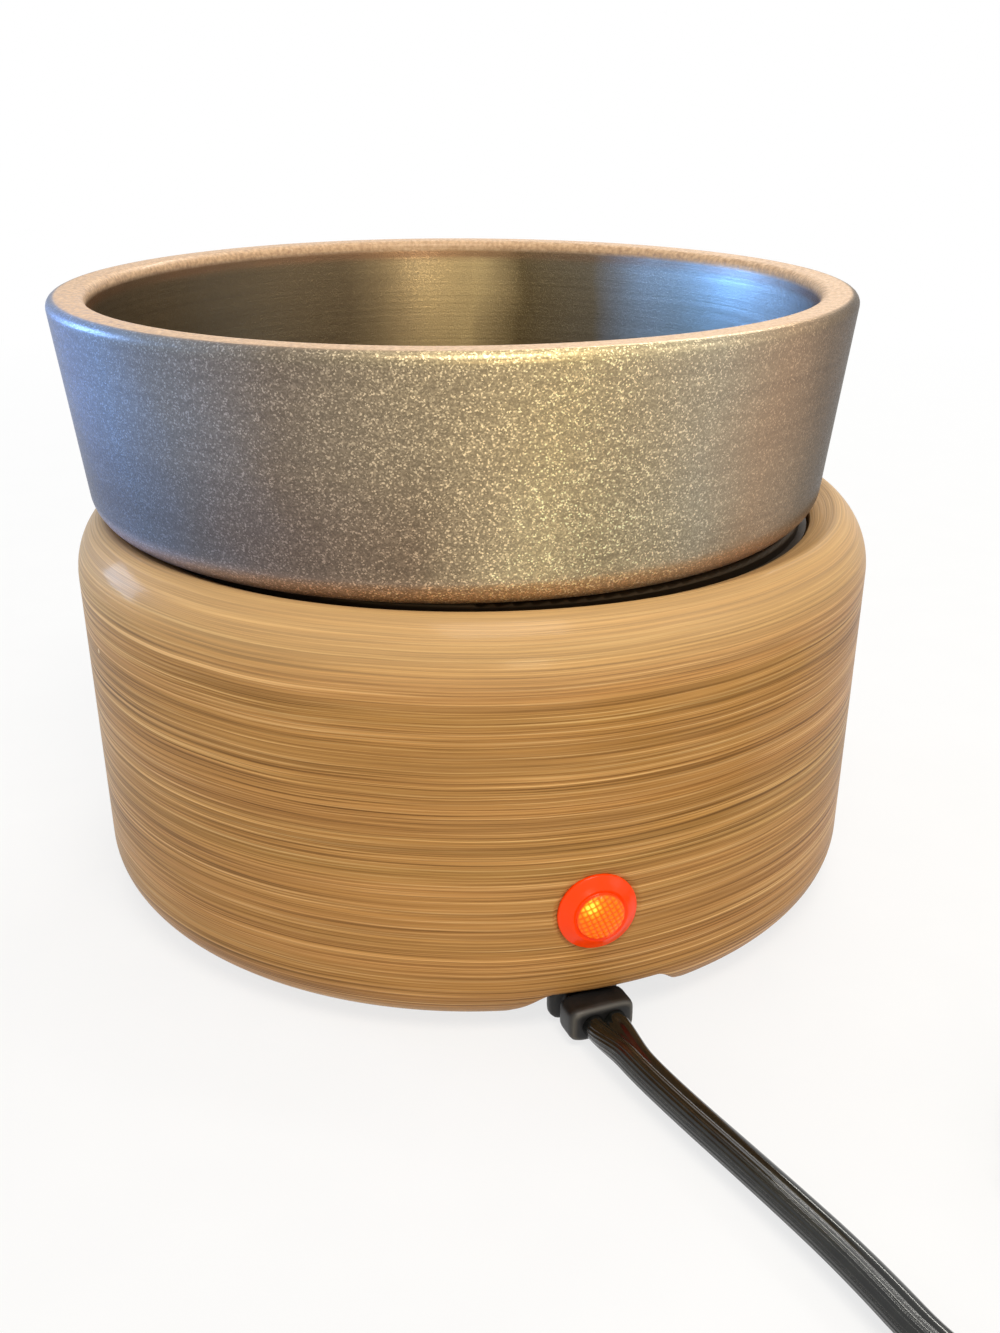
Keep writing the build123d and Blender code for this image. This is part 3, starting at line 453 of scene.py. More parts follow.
def srgb(red, green, blue):
    """Linear colour from the 0 to 255 values that a picture shows."""
    value = np.array([red, green, blue]) / 255
    linear = np.where(value <= 0.04045, value / 12.92, ((value + 0.055) / 1.055) ** 2.4)
    return tuple(float(c) for c in linear)


# %% [markdown]
# ## Black vinyl for the cord
# The jacket is extruded vinyl: glossy, nearly black, and marked along its length. One wire's side has
# fine ribs, so that it can be told from the other by touch. The ribs follow the jacket, so they come
# from the UV map: a sine across it, kept to one lobe.

# %% Cord finish
vinyl = Finish(
    "cord_vinyl", roughness=0.12, Specular_IOR_Level=0.34, Coat_Weight=0.3, Coat_Roughness=0.05
)
rib_count = 26
around = vinyl.parts(vinyl.coordinates.outputs["UV"])["X"]
ribs = vinyl.math("SINE", vinyl.math("MULTIPLY", around, 2 * math.pi * rib_count))
one_lobe = vinyl.math("GREATER_THAN", vinyl.math("ABSOLUTE", vinyl.math("SUBTRACT", around, 0.5)), 0.26)
drawn = vinyl.noise(vinyl.scaled((90, 14, 1), "UV"), 3)
scuffs = vinyl.noise(vinyl.scaled(400), 4)
vinyl.colour(vinyl.ramp(scuffs, [(0.35, srgb(8, 10, 8)), (0.7, srgb(20, 22, 18))]))
vinyl.rough(vinyl.range(drawn, 0.3, 0.7, 0.10, 0.20))
rib_height = vinyl.math("MULTIPLY", ribs, one_lobe)
vinyl.normal(vinyl.bump(drawn, 0.00002, 0.3, vinyl.bump(rib_height, 0.00010, 0.6)))

# %% [markdown]
# ## The two stretches of cord
# The lead is the stretch that the photograph shows, from the strain relief to the switch. It is rolled
# by 32 degrees between its ends, so it shows less of its broad side to the camera. The supply cord runs
# from the switch through the coil to the plug.

# %% The two stretches of cord
lead_twist = math.radians(32)
lead_mesh, lead_length = cord_mesh("supply_cord_lead", lead_path, lead_twist)
cord_lead = place("supply_cord_lead", lead_mesh, "warmer", vinyl.material, ["cord_lead"])
supply_mesh, supply_length = cord_mesh("supply_cord_coil", supply_path)
supply = place(
    "supply_cord_coil",
    supply_mesh,
    "warmer",
    vinyl.material,
    ["cord_link", "cord_coil", "cord_tail"],
)

# %% [markdown]
# ## Strain relief
# The grip is moulded on the cord: a block outside the base, a narrow neck, a second lobe under the
# notch and a long shank that the bottom cover holds. It is one surface: a rounded rectangle whose
# width and height change along the cord's direction.

# %% Grip
black_vinyl = Finish("moulded_vinyl", roughness=0.42, Specular_IOR_Level=0.34)
pitting = black_vinyl.noise(black_vinyl.scaled(1500), 4)
handling = black_vinyl.noise(black_vinyl.scaled(260), 3)
dull = black_vinyl.ramp(handling, [(0.3, srgb(14, 14, 15)), (0.75, srgb(30, 29, 30))])
# The block's front rim is painted lighter: a painted highlight.
painted_edge_highlight = black_vinyl.math("MULTIPLY", black_vinyl.mask("edge"), 0.5)
black_vinyl.colour(black_vinyl.mix(painted_edge_highlight, dull, srgb(104, 100, 92)))
black_vinyl.rough(black_vinyl.range(handling, 0.3, 0.7, 0.34, 0.52))
black_vinyl.normal(black_vinyl.bump(pitting, 0.00008, 0.35))


def block_run(stations, origin, outward, sideways, count=64, power=5.0):
    """A rounded rectangle carried backwards from origin.

    A station is (depth, width, height) in millimetres. The outline at each one is the superellipse
    |x / a|^p + |y / b|^p = 1, with a and b half its width and height.
    """
    stations = np.array(stations) * mm
    angle = np.arange(count) * 2 * np.pi / count
    cos, sin = np.cos(angle), np.sin(angle)
    x = np.sign(cos) * np.abs(cos) ** (2 / power)
    y = np.sign(sin) * np.abs(sin) ** (2 / power)
    spine = np.array(origin) - stations[:, :1] * np.array(outward)
    across = (stations[:, 1:2] / 2 * x[None])[..., None] * np.array(sideways)
    up = (stations[:, 2:3] / 2 * y[None])[..., None] * np.array((0, 0, 1.0))
    return spine[:, None] + across + up


heading = math.radians(21.0)
grip_out = (math.sin(heading), -math.cos(heading), 0.0)
grip_side = (math.cos(heading), math.sin(heading), 0.0)
grip_stations = [
    (0.0, 7.6, 3.4), (0.02, 8.6, 4.2), (0.25, 9.8, 5.0), (0.7, 10.4, 5.5), (1.4, 10.6, 5.6),
    (3.9, 10.6, 5.6), (4.6, 10.4, 5.5), (5.0, 9.6, 5.1), (5.25, 8.2, 4.6), (5.5, 7.6, 4.4),
    (6.1, 7.6, 4.4), (6.4, 8.4, 4.6), (6.6, 10.0, 5.1), (6.9, 11.0, 5.5), (7.5, 11.4, 5.6),
    (8.3, 11.4, 5.6), (8.9, 11.0, 5.5), (9.3, 10.0, 5.1), (9.5, 9.0, 4.8), (18.0, 9.0, 4.8),
    (18.1, 7.4, 4.8), (19.4, 7.4, 4.8), (19.5, 9.0, 4.8), (24.2, 9.0, 4.8), (24.5, 8.4, 4.2),
]
grip_points = block_run(grip_stations, lead_points[0], grip_out, grip_side)
grip_mesh = grid_mesh("cord_grip_moulding", grip_points, cap=True)
# The edge mask marks the block's front rim, where the painted highlight goes.
front_edge = np.array([0.0, 0.1, 1.0, 0.25] + [0.0] * (len(grip_stations) - 4))
set_row_mask(grip_mesh, "edge", front_edge, grip_points.shape[1])
place("cord_grip_moulding", grip_mesh, "warmer", black_vinyl.material, ["cord_grip"])

# %% [markdown]
# ## The cords' lengths
# The lead ends at the switch, and the supply cord at the plug, with the coil's tie on it. The
# length of each stretch is printed.

print("cord lengths", round(float(lead_length), 3), round(float(supply_length), 3))

# %% [markdown]
# ## Floor and light
# The picture is a cut-out on white. A pale floor catches a soft shadow near the object and gives off
# its own white further away. The world is white to the camera and to reflections, and lights the
# object with a third of that strength. Four soft lamps do the rest: a cool window on the left and a
# little behind it, a broad golden one above the camera, a small warm one in front and a weaker one on
# the right. Two narrow strips, one on the ceiling and one at the back, draw the thin highlights on
# the shoulder and along the cord.

# %% Floor, world and lamps
paper = Finish("pale_paper", roughness=0.9)
fibre = paper.noise(paper.scaled(60), 2)
paper.colour(paper.ramp(fibre, [(0.3, (0.76, 0.76, 0.76)), (0.7, (0.79, 0.79, 0.79))]))
floor_light = paper.node("ShaderNodeEmission")
floor_light.inputs["Strength"].default_value = 1.0
light_path = paper.node("ShaderNodeLightPath")
seen = paper.math("MAXIMUM", light_path.outputs["Is Camera Ray"], light_path.outputs["Is Glossy Ray"])
off_centre = paper.node("ShaderNodeVectorMath", operation="LENGTH")
paper.link(paper.coordinates.outputs["Object"], off_centre.inputs[0])
own_light = paper.range(off_centre.outputs["Value"], 0.20, 0.60, 0.76, 1.0)
blend = paper.node("ShaderNodeMixShader")
paper.link(paper.math("MULTIPLY", seen, own_light), blend.inputs["Fac"])
paper.link(paper.shader.outputs["BSDF"], blend.inputs[1])
paper.link(floor_light.outputs["Emission"], blend.inputs[2])
paper.link(blend.outputs["Shader"], paper.tree.nodes["Material Output"].inputs["Surface"])

floor_reach, floor_height = 3.0, -0.00002
corner_x, corner_y = np.meshgrid([-floor_reach, floor_reach], [-floor_reach, floor_reach])
floor_points = np.stack([corner_x, corner_y, np.full_like(corner_x, floor_height)], axis=-1)
floor_mesh = grid_mesh("floor", floor_points, wrap_columns=False)
floor = bpy.data.objects.new("floor", floor_mesh)
bpy.context.scene.collection.objects.link(floor)
floor.data.materials.append(paper.material)

world = bpy.data.worlds.new("white_room")
bpy.context.scene.world = world
world.use_nodes = True
tree = world.node_tree
background = tree.nodes["Background"]
background.inputs["Color"].default_value = (1, 1, 1, 1)
rays = tree.nodes.new("ShaderNodeLightPath")


def world_math(operation, first, second):
    """One step of arithmetic in the world's node tree."""
    made = tree.nodes.new("ShaderNodeMath")
    made.operation = operation
    for socket, value in zip(made.inputs, (first, second)):
        if isinstance(value, bpy.types.NodeSocket):
            tree.links.new(value, socket)
        else:
            socket.default_value = value
    return made.outputs[0]


mirrored = world_math("MAXIMUM", rays.outputs["Is Glossy Ray"], rays.outputs["Is Transmission Ray"])
direct = world_math("MAXIMUM", rays.outputs["Is Camera Ray"], mirrored)
strength = world_math("ADD", world_math("MULTIPLY", direct, 0.66), 0.34)
tree.links.new(strength, background.inputs["Strength"])


def lamp(name, place_at, aim, size, power, colour):
    """A rectangular soft lamp that faces a point."""
    data = bpy.data.lights.new(name, "AREA")
    data.shape = "RECTANGLE"
    data.size, data.size_y = size
    data.energy = power
    data.color = colour
    made = bpy.data.objects.new(name, data)
    bpy.context.scene.collection.objects.link(made)
    made.location = place_at
    direction = np.array(aim) - np.array(place_at)
    yaw = math.atan2(direction[1], direction[0]) - math.pi / 2
    pitch = math.atan2(math.hypot(direction[0], direction[1]), -direction[2])
    made.rotation_euler = (pitch, 0, yaw)


middle = (0, 0, 0.06)
lamp("window_behind", (-0.98, 0.42, 0.26), middle, (0.34, 0.30), 4.6, (0.50, 0.70, 1.0))
lamp("top_soft", (0.10, -0.50, 0.85), middle, (0.45, 0.35), 5.8, (1.0, 0.94, 0.83))
lamp("front_glow", (0.22, -0.90, 0.24), middle, (0.20, 0.20), 1.5, (1.0, 0.86, 0.62))
lamp("right_fill", (0.85, -0.35, 0.5), middle, (0.35, 0.6), 1.0, (1.0, 0.92, 0.80))
lamp("ceiling_strip", (0.06, 0.16, 1.10), middle, (0.55, 0.07), 1.6, (1.0, 0.95, 0.86))
lamp("back_strip", (0.27, 0.70, 0.66), (0.05, -0.13, 0.0), (0.5, 0.06), 3.0, (1.0, 0.98, 0.90))
bpy.context.scene.view_settings.view_transform = "Standard"

# %% [markdown]
# ## The base's glaze
# The tan glaze is drawn with a broad brush while the pot turns, so it has streaks that run round it,
# some a hair wide and some as wide as a pencil. The streaks are noise whose coordinates are squeezed:
# slow round the pot, where it reads the Object coordinates, and fast along the profile, where it
# reads the distance from the UV map. That way they also follow the shoulder as rings. Four of them
# are laid over one another, from a fifth of a millimetre wide to five.

# %% Base glaze
tan = Finish(
    "brushed_tan_glaze", roughness=0.42, Specular_IOR_Level=0.07, Coat_Weight=0.14, Coat_Roughness=0.14
)
object_parts = tan.parts(tan.coordinates.outputs["Object"])
along_profile = tan.parts(tan.coordinates.outputs["UV"])["Y"]
wander = tan.noise(tan.scaled(22), 2)
wandering = tan.math("ADD", along_profile, tan.math("MULTIPLY", wander, 0.0012))


def streaks(round_scale, profile_scale, detail):
    """Noise stretched round the pot: slow in x and y, fast along the profile."""
    joined = tan.node("ShaderNodeCombineXYZ")
    for socket, source, scale in (
        ("X", object_parts["X"], round_scale),
        ("Y", object_parts["Y"], round_scale),
        ("Z", wandering, profile_scale),
    ):
        tan.link(tan.math("MULTIPLY", source, scale), joined.inputs[socket])
    return tan.noise(joined.outputs["Vector"], detail, 0.6)


hair = streaks(26, 4800, 2)
line = streaks(14, 2200, 3)
band = streaks(8, 800, 2)
broad = streaks(4, 190, 2)
glaze = tan.ramp(line, [
    (0.34, srgb(131, 94, 51)),
    (0.44, srgb(167, 123, 70)),
    (0.56, srgb(181, 137, 82)),
    (0.67, srgb(208, 168, 114)),
])
hair_tone = tan.ramp(hair, [
    (0.34, (0.65, 0.60, 0.53)),
    (0.46, (0.97, 0.96, 0.94)),
    (0.66, (1.20, 1.19, 1.16)),
])
band_tone = tan.ramp(band, [(0.32, (0.85, 0.84, 0.81)), (0.68, (1.09, 1.08, 1.06))])
broad_tone = tan.ramp(broad, [(0.30, (0.92, 0.95, 0.86)), (0.70, (1.06, 1.02, 1.06))])
streaked = tan.tinted(tan.tinted(tan.tinted(glaze, hair_tone, 0.9), band_tone, 0.9), broad_tone, 0.9)
# The top of the shoulder is painted paler: painted light from above.
painted_shoulder_light = tan.math("MULTIPLY", tan.mask("shoulder"), 0.44)
clay_grain = tan.noise(tan.scaled(300), 4)
bare = tan.ramp(clay_grain, [(0.3, srgb(196, 160, 128)), (0.7, srgb(214, 182, 150))])
speckled = tan.math("LESS_THAN", tan.cells(tan.scaled(60)).outputs["Distance"], 0.028)
glazed = tan.mix(speckled, tan.mix(painted_shoulder_light, streaked, srgb(220, 187, 139)), srgb(222, 196, 150))
tan.colour(tan.mix(tan.mask("unglazed"), glazed, bare))
tan.rough(tan.range(hair, 0.3, 0.7, 0.50, 0.36))
height = tan.math("ADD", tan.math("MULTIPLY", hair, 0.4), line)
tan.normal(tan.bump(height, 0.00022, 0.6))

# %% [markdown]
# ## The base
# The base is a closed profile turned round the upright axis, in millimetres: the wall that widens a
# little upwards, the round shoulder, the crown, the mouth that slopes down to the throat, the ledge
# for the hot plate, the inside and the bottom ring.

# %% Base profile
shoulder_centre, shoulder_radius = np.array([56.543, 58.571]), 11.96
crown_centre, crown_radius = np.array([63.186, 65.987]), 2.0
meeting = math.atan2(*(crown_centre - shoulder_centre)[::-1])
slope_turn = math.radians(113.33)
foot_radius, foot_height, foot_rounding = 67.2, 1.0, 9.5
top_radius, top_height = 68.5, 58.3
sweep = np.linspace(math.radians(-1.3), meeting, 26)
shoulder_arc = shoulder_centre + shoulder_radius * np.stack([np.cos(sweep), np.sin(sweep)], axis=1)
sweep = np.linspace(meeting, slope_turn, 12)[1:]
crown_arc = crown_centre + crown_radius * np.stack([np.cos(sweep), np.sin(sweep)], axis=1)
wall_side = rounded_profile(
    [(57.7, foot_height), (foot_radius, foot_height), (top_radius, top_height)],
    (0, foot_rounding, 0),
    0.62,
)
mouth_side = rounded_profile([crown_arc[-1], (58.4, 66.1), (58.4, 64.0)], (0, 0.8, 0), 0.5)
inside_side = rounded_profile(
    [(58.4, 63.6), (50.5, 63.6), (50.5, 59.9), (63.5, 52.4), (62.2, 6.4), (50.5, 6.4),
     (50.5, 3.2), (53.6, 3.2), (53.6, 1.0), (57.0, 1.0)],
    (0, 0.4, 0.5, 3.0, 4.4, 0.4, 0.3, 0.3, 0.6, 0),
    1.8,
)
base_profile = np.vstack([wall_side[:-1], shoulder_arc, crown_arc, mouth_side[1:], inside_side])
base_along = arc_lengths(base_profile)
outer_count = len(wall_side) - 1 + len(shoulder_arc) + len(crown_arc) + len(mouth_side) - 1
outer_rows = np.arange(len(base_profile)) < outer_count
print("base profile points", len(base_profile), "outside", outer_count)

# %% [markdown]
# ## Turn and cut the base
# The profile is turned with columns a third of a degree apart in front, where the notch and the lamp
# are. The turned surface is then changed in two places. The notch lifts each point that is lower than
# its outline: h = (a + b + sqrt((a - b)^2 + s^2)) / 2 is the greater of a and b, with a soft edge. The
# points of the bottom ring that it lifts also move out into the wall, so that none of them shows in
# the notch. The lamp's seat is pressed in by a third of a millimetre.

# %% Turn and cut the base
front = np.radians(np.arange(-8, 42, 0.34))
rest = np.radians(np.arange(42, 352, 1.5))
azimuth = np.concatenate([front, rest])
radial = np.stack([np.sin(azimuth), -np.cos(azimuth)], axis=1)
radius_grid = np.repeat(base_profile[:, :1], len(azimuth), axis=1)
height_grid = np.repeat(base_profile[:, 1:], len(azimuth), axis=1)

notch_turn, notch_height, notch_half_foot, notch_half_roof = math.radians(17.5), 6.8, 16.6, 8.4
notch_out = np.array([math.sin(notch_turn), -math.cos(notch_turn)])
notch_side = np.array([-notch_out[1], notch_out[0]])
sideways = radius_grid * (radial @ notch_side)[None]
facing = radius_grid * (radial @ notch_out)[None]
flank = smooth_step(-notch_half_foot, -notch_half_roof, -np.abs(sideways))
notch = notch_height * flank * (facing > 0)
folded = ~outer_rows[:, None] & (base_profile[:, 1:] < 12)
bend_radius, bend_height, wall_limit = 57.1, foot_height + foot_rounding, 61.8
below_bend = bend_height - np.clip(notch, foot_height, bend_height)
wall_inside = np.minimum(bend_radius + np.sqrt(foot_rounding**2 - below_bend**2), wall_limit)
radius_grid = np.where(folded & (height_grid < notch), np.maximum(radius_grid, wall_inside), radius_grid)
soft = 0.9 * smooth_step(0.2, 2.0, notch)
gap = height_grid - notch
height_grid = np.where(notch > 0.05, (height_grid + notch + np.sqrt(gap**2 + soft**2)) / 2, height_grid)

lamp_turn, lamp_height, seat_depth = math.radians(15.4), 21.6, 0.35
lamp_out = np.array([math.sin(lamp_turn), -math.cos(lamp_turn), 0])
lamp_side = np.array([math.cos(lamp_turn), math.sin(lamp_turn), 0])
across_lamp = radius_grid * (radial @ lamp_side[:2])[None]
from_lamp = np.hypot(across_lamp, height_grid - lamp_height)
outside = outer_rows[:, None] & (radial @ lamp_out[:2] > 0)[None]
radius_grid = radius_grid - seat_depth * outside * smooth_step(-6.75, -6.35, -from_lamp)

base_points = np.stack(
    [radius_grid * radial[None, :, 0], radius_grid * radial[None, :, 1], height_grid], axis=-1
) * mm
base_uv = grid_uv(azimuth / (2 * np.pi), base_along * mm)
base_mesh = grid_mesh("ceramic_base", base_points, wrap_rows=True, uv=base_uv)
set_row_mask(base_mesh, "shoulder", smooth_step(54, 66, base_profile[:, 1]) * outer_rows, len(azimuth))
set_row_mask(base_mesh, "unglazed", ~outer_rows | (base_profile[:, 1] < 1.25), len(azimuth))
place("ceramic_base", base_mesh, "warmer", tan.material, ["base_shell"])

# %% [markdown]
# ## The dish's glaze
# The dish has a dark metallic glaze with mica in it, so it is partly metal and partly lacquer. The
# mica is a pattern of cells a fifth of a millimetre wide: each flake has its own brightness and its own
# tilt, and only some of them catch the light; in front they are painted brighter, as painted glints.
# The colour changes round the dish as painted reflections, from blue on the left to gold in front and
# darker on the right. The lining has a painted golden highlight at the back and a painted reflection,
# a blue patch, on the right. The lower wall is painted darker or lighter round the dish, as painted
# shade and painted reflection, and the lip is painted a little lighter, as a painted highlight. The
# floor and the underside are one plain tone, so that the painted hues don't meet in a point. The foot
# is painted paler and peach-coloured, as a painted reflection of the base. Where the glaze runs thin
# over the rim, the clay shows through as a peach-coloured ring.

# %% Dish glaze
glaze_metal = 0.82
pewter = Finish(
    "pewter_glaze",
    roughness=0.40,
    metallic=glaze_metal,
    Coat_Weight=0.12,
    Coat_Roughness=0.2,
    Specular_Tint=(0.50, 0.47, 0.45, 1.0),
)
flakes = pewter.cells(pewter.scaled(4600))
flake_parts = pewter.parts(flakes.outputs["Color"])
turned_streaks = pewter.noise(pewter.scaled((14, 14, 900)), 3)
clouds = pewter.noise(pewter.scaled(28), 3)
grain = pewter.noise(pewter.scaled(1300), 3)
round_parts = pewter.parts(pewter.scaled((1, -1, 1)))
bearing = pewter.math("ARCTAN2", round_parts["X"], round_parts["Y"])
clouded = pewter.math("ADD", bearing, pewter.range(clouds, 0.3, 0.7, -0.06, 0.06))
turn_share = pewter.range(clouded, -math.pi, math.pi, 0.0, 1.0)
# Colour round the dish as painted reflections: blue on the left, gold in front, darker on the right.
painted_reflection_tone = pewter.ramp(turn_share, [
    (0.0, srgb(120, 110, 96)),
    (0.25, srgb(112, 114, 124)),
    (0.335, srgb(126, 150, 198)),
    (0.362, srgb(119, 142, 182)),
    (0.392, srgb(118, 124, 138)),
    (0.435, srgb(124, 112, 101)),
    (0.525, srgb(190, 169, 128)),
    (0.585, srgb(173, 160, 138)),
    (0.62, srgb(166, 140, 115)),
    (0.655, srgb(124, 107, 90)),
    (0.685, srgb(88, 76, 64)),
    (1.0, srgb(120, 110, 96)),
])
streak_tone = pewter.ramp(turned_streaks, [(0.3, (0.88, 0.88, 0.88)), (0.7, (1.08, 1.08, 1.06))])
# The foot, which faces down, is painted brighter and bluer: painted light.
painted_foot_light = pewter.mix(pewter.mask("foot"), (1.0, 1.0, 1.0), (1.70, 1.72, 1.85))
# The lower wall is painted darker or lighter round the dish: painted shade and painted reflection.
painted_low_tone = pewter.ramp(turn_share, [
    (0.0, (0.85, 0.83, 0.82)),
    (0.25, (0.74, 0.69, 0.64)),
    (0.36, (0.64, 0.57, 0.51)),
    (0.437, (0.80, 0.76, 0.78)),
    (0.478, (0.66, 0.61, 0.64)),
    (0.512, (1.08, 1.12, 1.16)),
    (0.58, (1.05, 1.10, 1.14)),
    (0.66, (1.05, 1.10, 1.10)),
    (0.80, (0.90, 0.90, 0.90)),
    (1.0, (0.85, 0.83, 0.82)),
])
lowered = pewter.mix(pewter.mask("low"), (1.0, 1.0, 1.0), painted_low_tone)
shaded = pewter.tinted(pewter.tinted(painted_reflection_tone, lowered), painted_foot_light)
# The foot is painted paler and peach-coloured: a painted reflection of the base below it.
painted_foot_reflection = pewter.math("MULTIPLY", pewter.mask("foot"), 0.5)
footed = pewter.mix(painted_foot_reflection, shaded, srgb(206, 178, 158))
outside_tone = pewter.mix(pewter.mask("flat"), footed, srgb(116, 104, 90))
toned = pewter.tinted(outside_tone, streak_tone, 0.8)
sparkle = pewter.ramp(flake_parts["X"], [
    (0.0, (0.60, 0.59, 0.58)),
    (0.55, (0.88, 0.87, 0.86)),
    (0.84, (1.28, 1.28, 1.27)),
    (0.97, (2.45, 2.48, 2.50)),
])
# The flakes are painted brighter in front, where they glint most: painted glints.
painted_glint_share = pewter.ramp(turn_share, [
    (0.38, (0.42, 0.42, 0.42)),
    (0.47, (0.95, 0.95, 0.95)),
    (0.55, (0.95, 0.95, 0.95)),
    (0.61, (0.42, 0.42, 0.42)),
])
sparkling = pewter.tinted(toned, sparkle, painted_glint_share)
# The lining holds a painted golden highlight at the back and a painted reflection of a blue window on the
# right.
lining = pewter.ramp(turn_share, [
    (0.0, srgb(186, 163, 117)),
    (0.035, srgb(156, 136, 100)),
    (0.07, srgb(108, 92, 68)),
    (0.5, srgb(100, 90, 76)),
    (0.73, srgb(118, 112, 106)),
    (0.79, srgb(172, 206, 244)),
    (0.845, srgb(160, 206, 252)),
    (0.895, srgb(152, 182, 222)),
    (0.93, srgb(120, 112, 96)),
    (0.972, srgb(106, 91, 62)),
    (1.0, srgb(186, 163, 117)),
])
inside_tone = pewter.mix(pewter.mask("flat"), lining, srgb(106, 94, 74))
lined = pewter.mix(pewter.mask("lining"), sparkling, pewter.tinted(inside_tone, streak_tone, 0.6))
# The lip is painted a little lighter: a painted highlight.
painted_lip_highlight = pewter.mix(pewter.mask("lip"), (1.0, 1.0, 1.0), (1.04, 1.06, 1.02))
lipped = pewter.tinted(lined, painted_lip_highlight)
ragged = pewter.math("MULTIPLY", pewter.mask("seam"), pewter.range(clouds, 0.35, 0.6, 0.2, 0.9))
edged = pewter.mix(ragged, lipped, srgb(136, 98, 70))
clay = pewter.ramp(grain, [(0.3, srgb(186, 147, 110)), (0.7, srgb(218, 184, 147))])
worn = pewter.math("MULTIPLY", pewter.mask("rim"), pewter.range(grain, 0.25, 0.6, 0.7, 1.0))
pewter.colour(pewter.mix(worn, edged, clay))
metal = pewter.math("MULTIPLY", pewter.math("SUBTRACT", 1.0, worn), glaze_metal)
pewter.link(metal, pewter.shader.inputs["Metallic"])
flake_rough = pewter.range(flake_parts["Y"], 0, 1, 0.30, 0.50)
pewter.rough(pewter.math("ADD", flake_rough, pewter.math("MULTIPLY", worn, 0.1)))
tilt = pewter.bump(flake_parts["Z"], 0.00009, 0.55)
pewter.normal(pewter.bump(turned_streaks, 0.00012, 0.4, tilt))

# %% [markdown]
# ## The dish
# The dish is a profile too, from its underside round the rim to its floor. The two ends on the axis
# are left off, and a flat face closes each. The rim sags a little twice in each turn, and the dish
# stands a few millimetres off the base's axis. Seven masks, with one value for each row, tell the
# glaze where the foot, the rim, the lining and the plain floor are.

# %% Dish
dish_corners = [(0, 0), (62.1, 0), (66.7, 36.8), (60.5, 36.8), (57.7, 5.6), (0, 5.6)]
dish_profile = rounded_profile(dish_corners, (0, 5.9, 1.5, 1.5, 9, 0), 0.75)[1:-1]
dish_along = arc_lengths(dish_profile)
turns = np.arange(300) * 2 * np.pi / 300
ring = np.stack([np.cos(turns), np.sin(turns)], axis=1)
deepest_sag, sag_turn = 0.22, 0.7
sagging = deepest_sag * smooth_step(18, 36.6, dish_profile[:, 1])
sag = sagging[:, None] * (1 + np.sin(2 * turns + sag_turn))[None] / 2
dish_points = np.concatenate(
    [dish_profile[:, None, :1] * ring[None], (dish_profile[:, None, 1:] - sag[..., None])], axis=-1
)
dish_place = np.array([-2.8, 0.9, 67.1])
dish_points = (dish_points + dish_place) * mm
dish_uv = grid_uv(turns / (2 * np.pi), dish_along * mm)
dish_mesh = grid_mesh("wax_dish", dish_points, cap=True, uv=dish_uv)
top_row = int(np.argmax(dish_profile[:, 1]))
rows = np.arange(len(dish_profile))
outer_rim = smooth_step(36.35, 36.65, dish_profile[:, 1]) * smooth_step(-65.6, -64.9, -dish_profile[:, 0])
inner_rim = (rows > top_row) * smooth_step(34.9, 35.5, dish_profile[:, 1])
rim_mask = np.maximum(outer_rim, inner_rim)
inside_mask = (rows > top_row) * smooth_step(-36.4, -34.6, -dish_profile[:, 1])
seam_mask = (rows > top_row) * np.exp(-(((dish_profile[:, 1] - 34.3) / 0.9) ** 2))
# The lip, low and foot masks say where the painted highlight, shade and reflections go.
lip_mask = (rows < top_row) * smooth_step(34.2, 35.6, dish_profile[:, 1])
flat_mask = smooth_step(-56.5, -47.0, -dish_profile[:, 0])
foot_mask = (rows < top_row) * smooth_step(-5.6, -1.6, -dish_profile[:, 1])
low_mask = (rows < top_row) * smooth_step(-26.0, -8.0, -dish_profile[:, 1]) * (1 - 0.8 * foot_mask)
for mask_name, mask in (
    ("foot", foot_mask),
    ("low", low_mask),
    ("rim", rim_mask),
    ("lining", inside_mask),
    ("seam", seam_mask),
    ("lip", lip_mask),
    ("flat", flat_mask),
):
    set_row_mask(dish_mesh, mask_name, mask, len(turns))
place("wax_dish", dish_mesh, "dish", pewter.material, ["dish"])

# %% [markdown]
# ## Pilot lamp
# The lamp's cap is one moulding in clear orange plastic: a flat flange, a cone and a dome with a
# waffle of fine ribs that spreads the glow, and behind the flange a barrel that holds the bulb. Its
# front is a height over a disc. The waffle is the square root of the product of two sines, which
# makes square cushions with narrow grooves between them. The bulb glows behind its upper left part.

# %% Lamp cap
orange = Finish("lamp_plastic", roughness=0.22, Specular_IOR_Level=0.22)
glow = orange.mask("glow")
lamp_colour = orange.ramp(glow, [
    (0.0, srgb(236, 60, 0)),
    (0.35, srgb(244, 108, 0)),
    (0.60, srgb(250, 146, 20)),
    (1.0, srgb(255, 214, 70)),
])
orange.colour(lamp_colour)
orange.link(lamp_colour, orange.shader.inputs["Emission Color"])
orange.link(orange.range(glow, 0, 1, 0.22, 0.70), orange.shader.inputs["Emission Strength"])

flange_radius, dome_radius, barrel_radius = 6.2, 3.8, 3.9
distance = np.concatenate([np.linspace(0.02, 3.9, 90), np.linspace(4.0, flange_radius, 22)])
turn = np.arange(300) * 2 * np.pi / 300
u = distance[:, None] * np.cos(turn)[None]
v = distance[:, None] * np.sin(turn)[None]
dome = 1.7 + 1.15 * np.sqrt(np.clip(1 - (distance / dome_radius) ** 2, 0, 1))
cone = np.interp(distance, [3.8, 4.3, 5.0, 5.9, 6.1, 6.2], [1.55, 1.75, 1.35, 0.72, 0.6, 0.42])
cap_height = np.repeat(np.where(distance < dome_radius, dome, cone)[:, None], len(turn), axis=1)
waffle_turn, waffle_pitch = math.radians(24), 0.82
along = (u * math.cos(waffle_turn) + v * math.sin(waffle_turn)) * math.pi / waffle_pitch
crosswise = (v * math.cos(waffle_turn) - u * math.sin(waffle_turn)) * math.pi / waffle_pitch
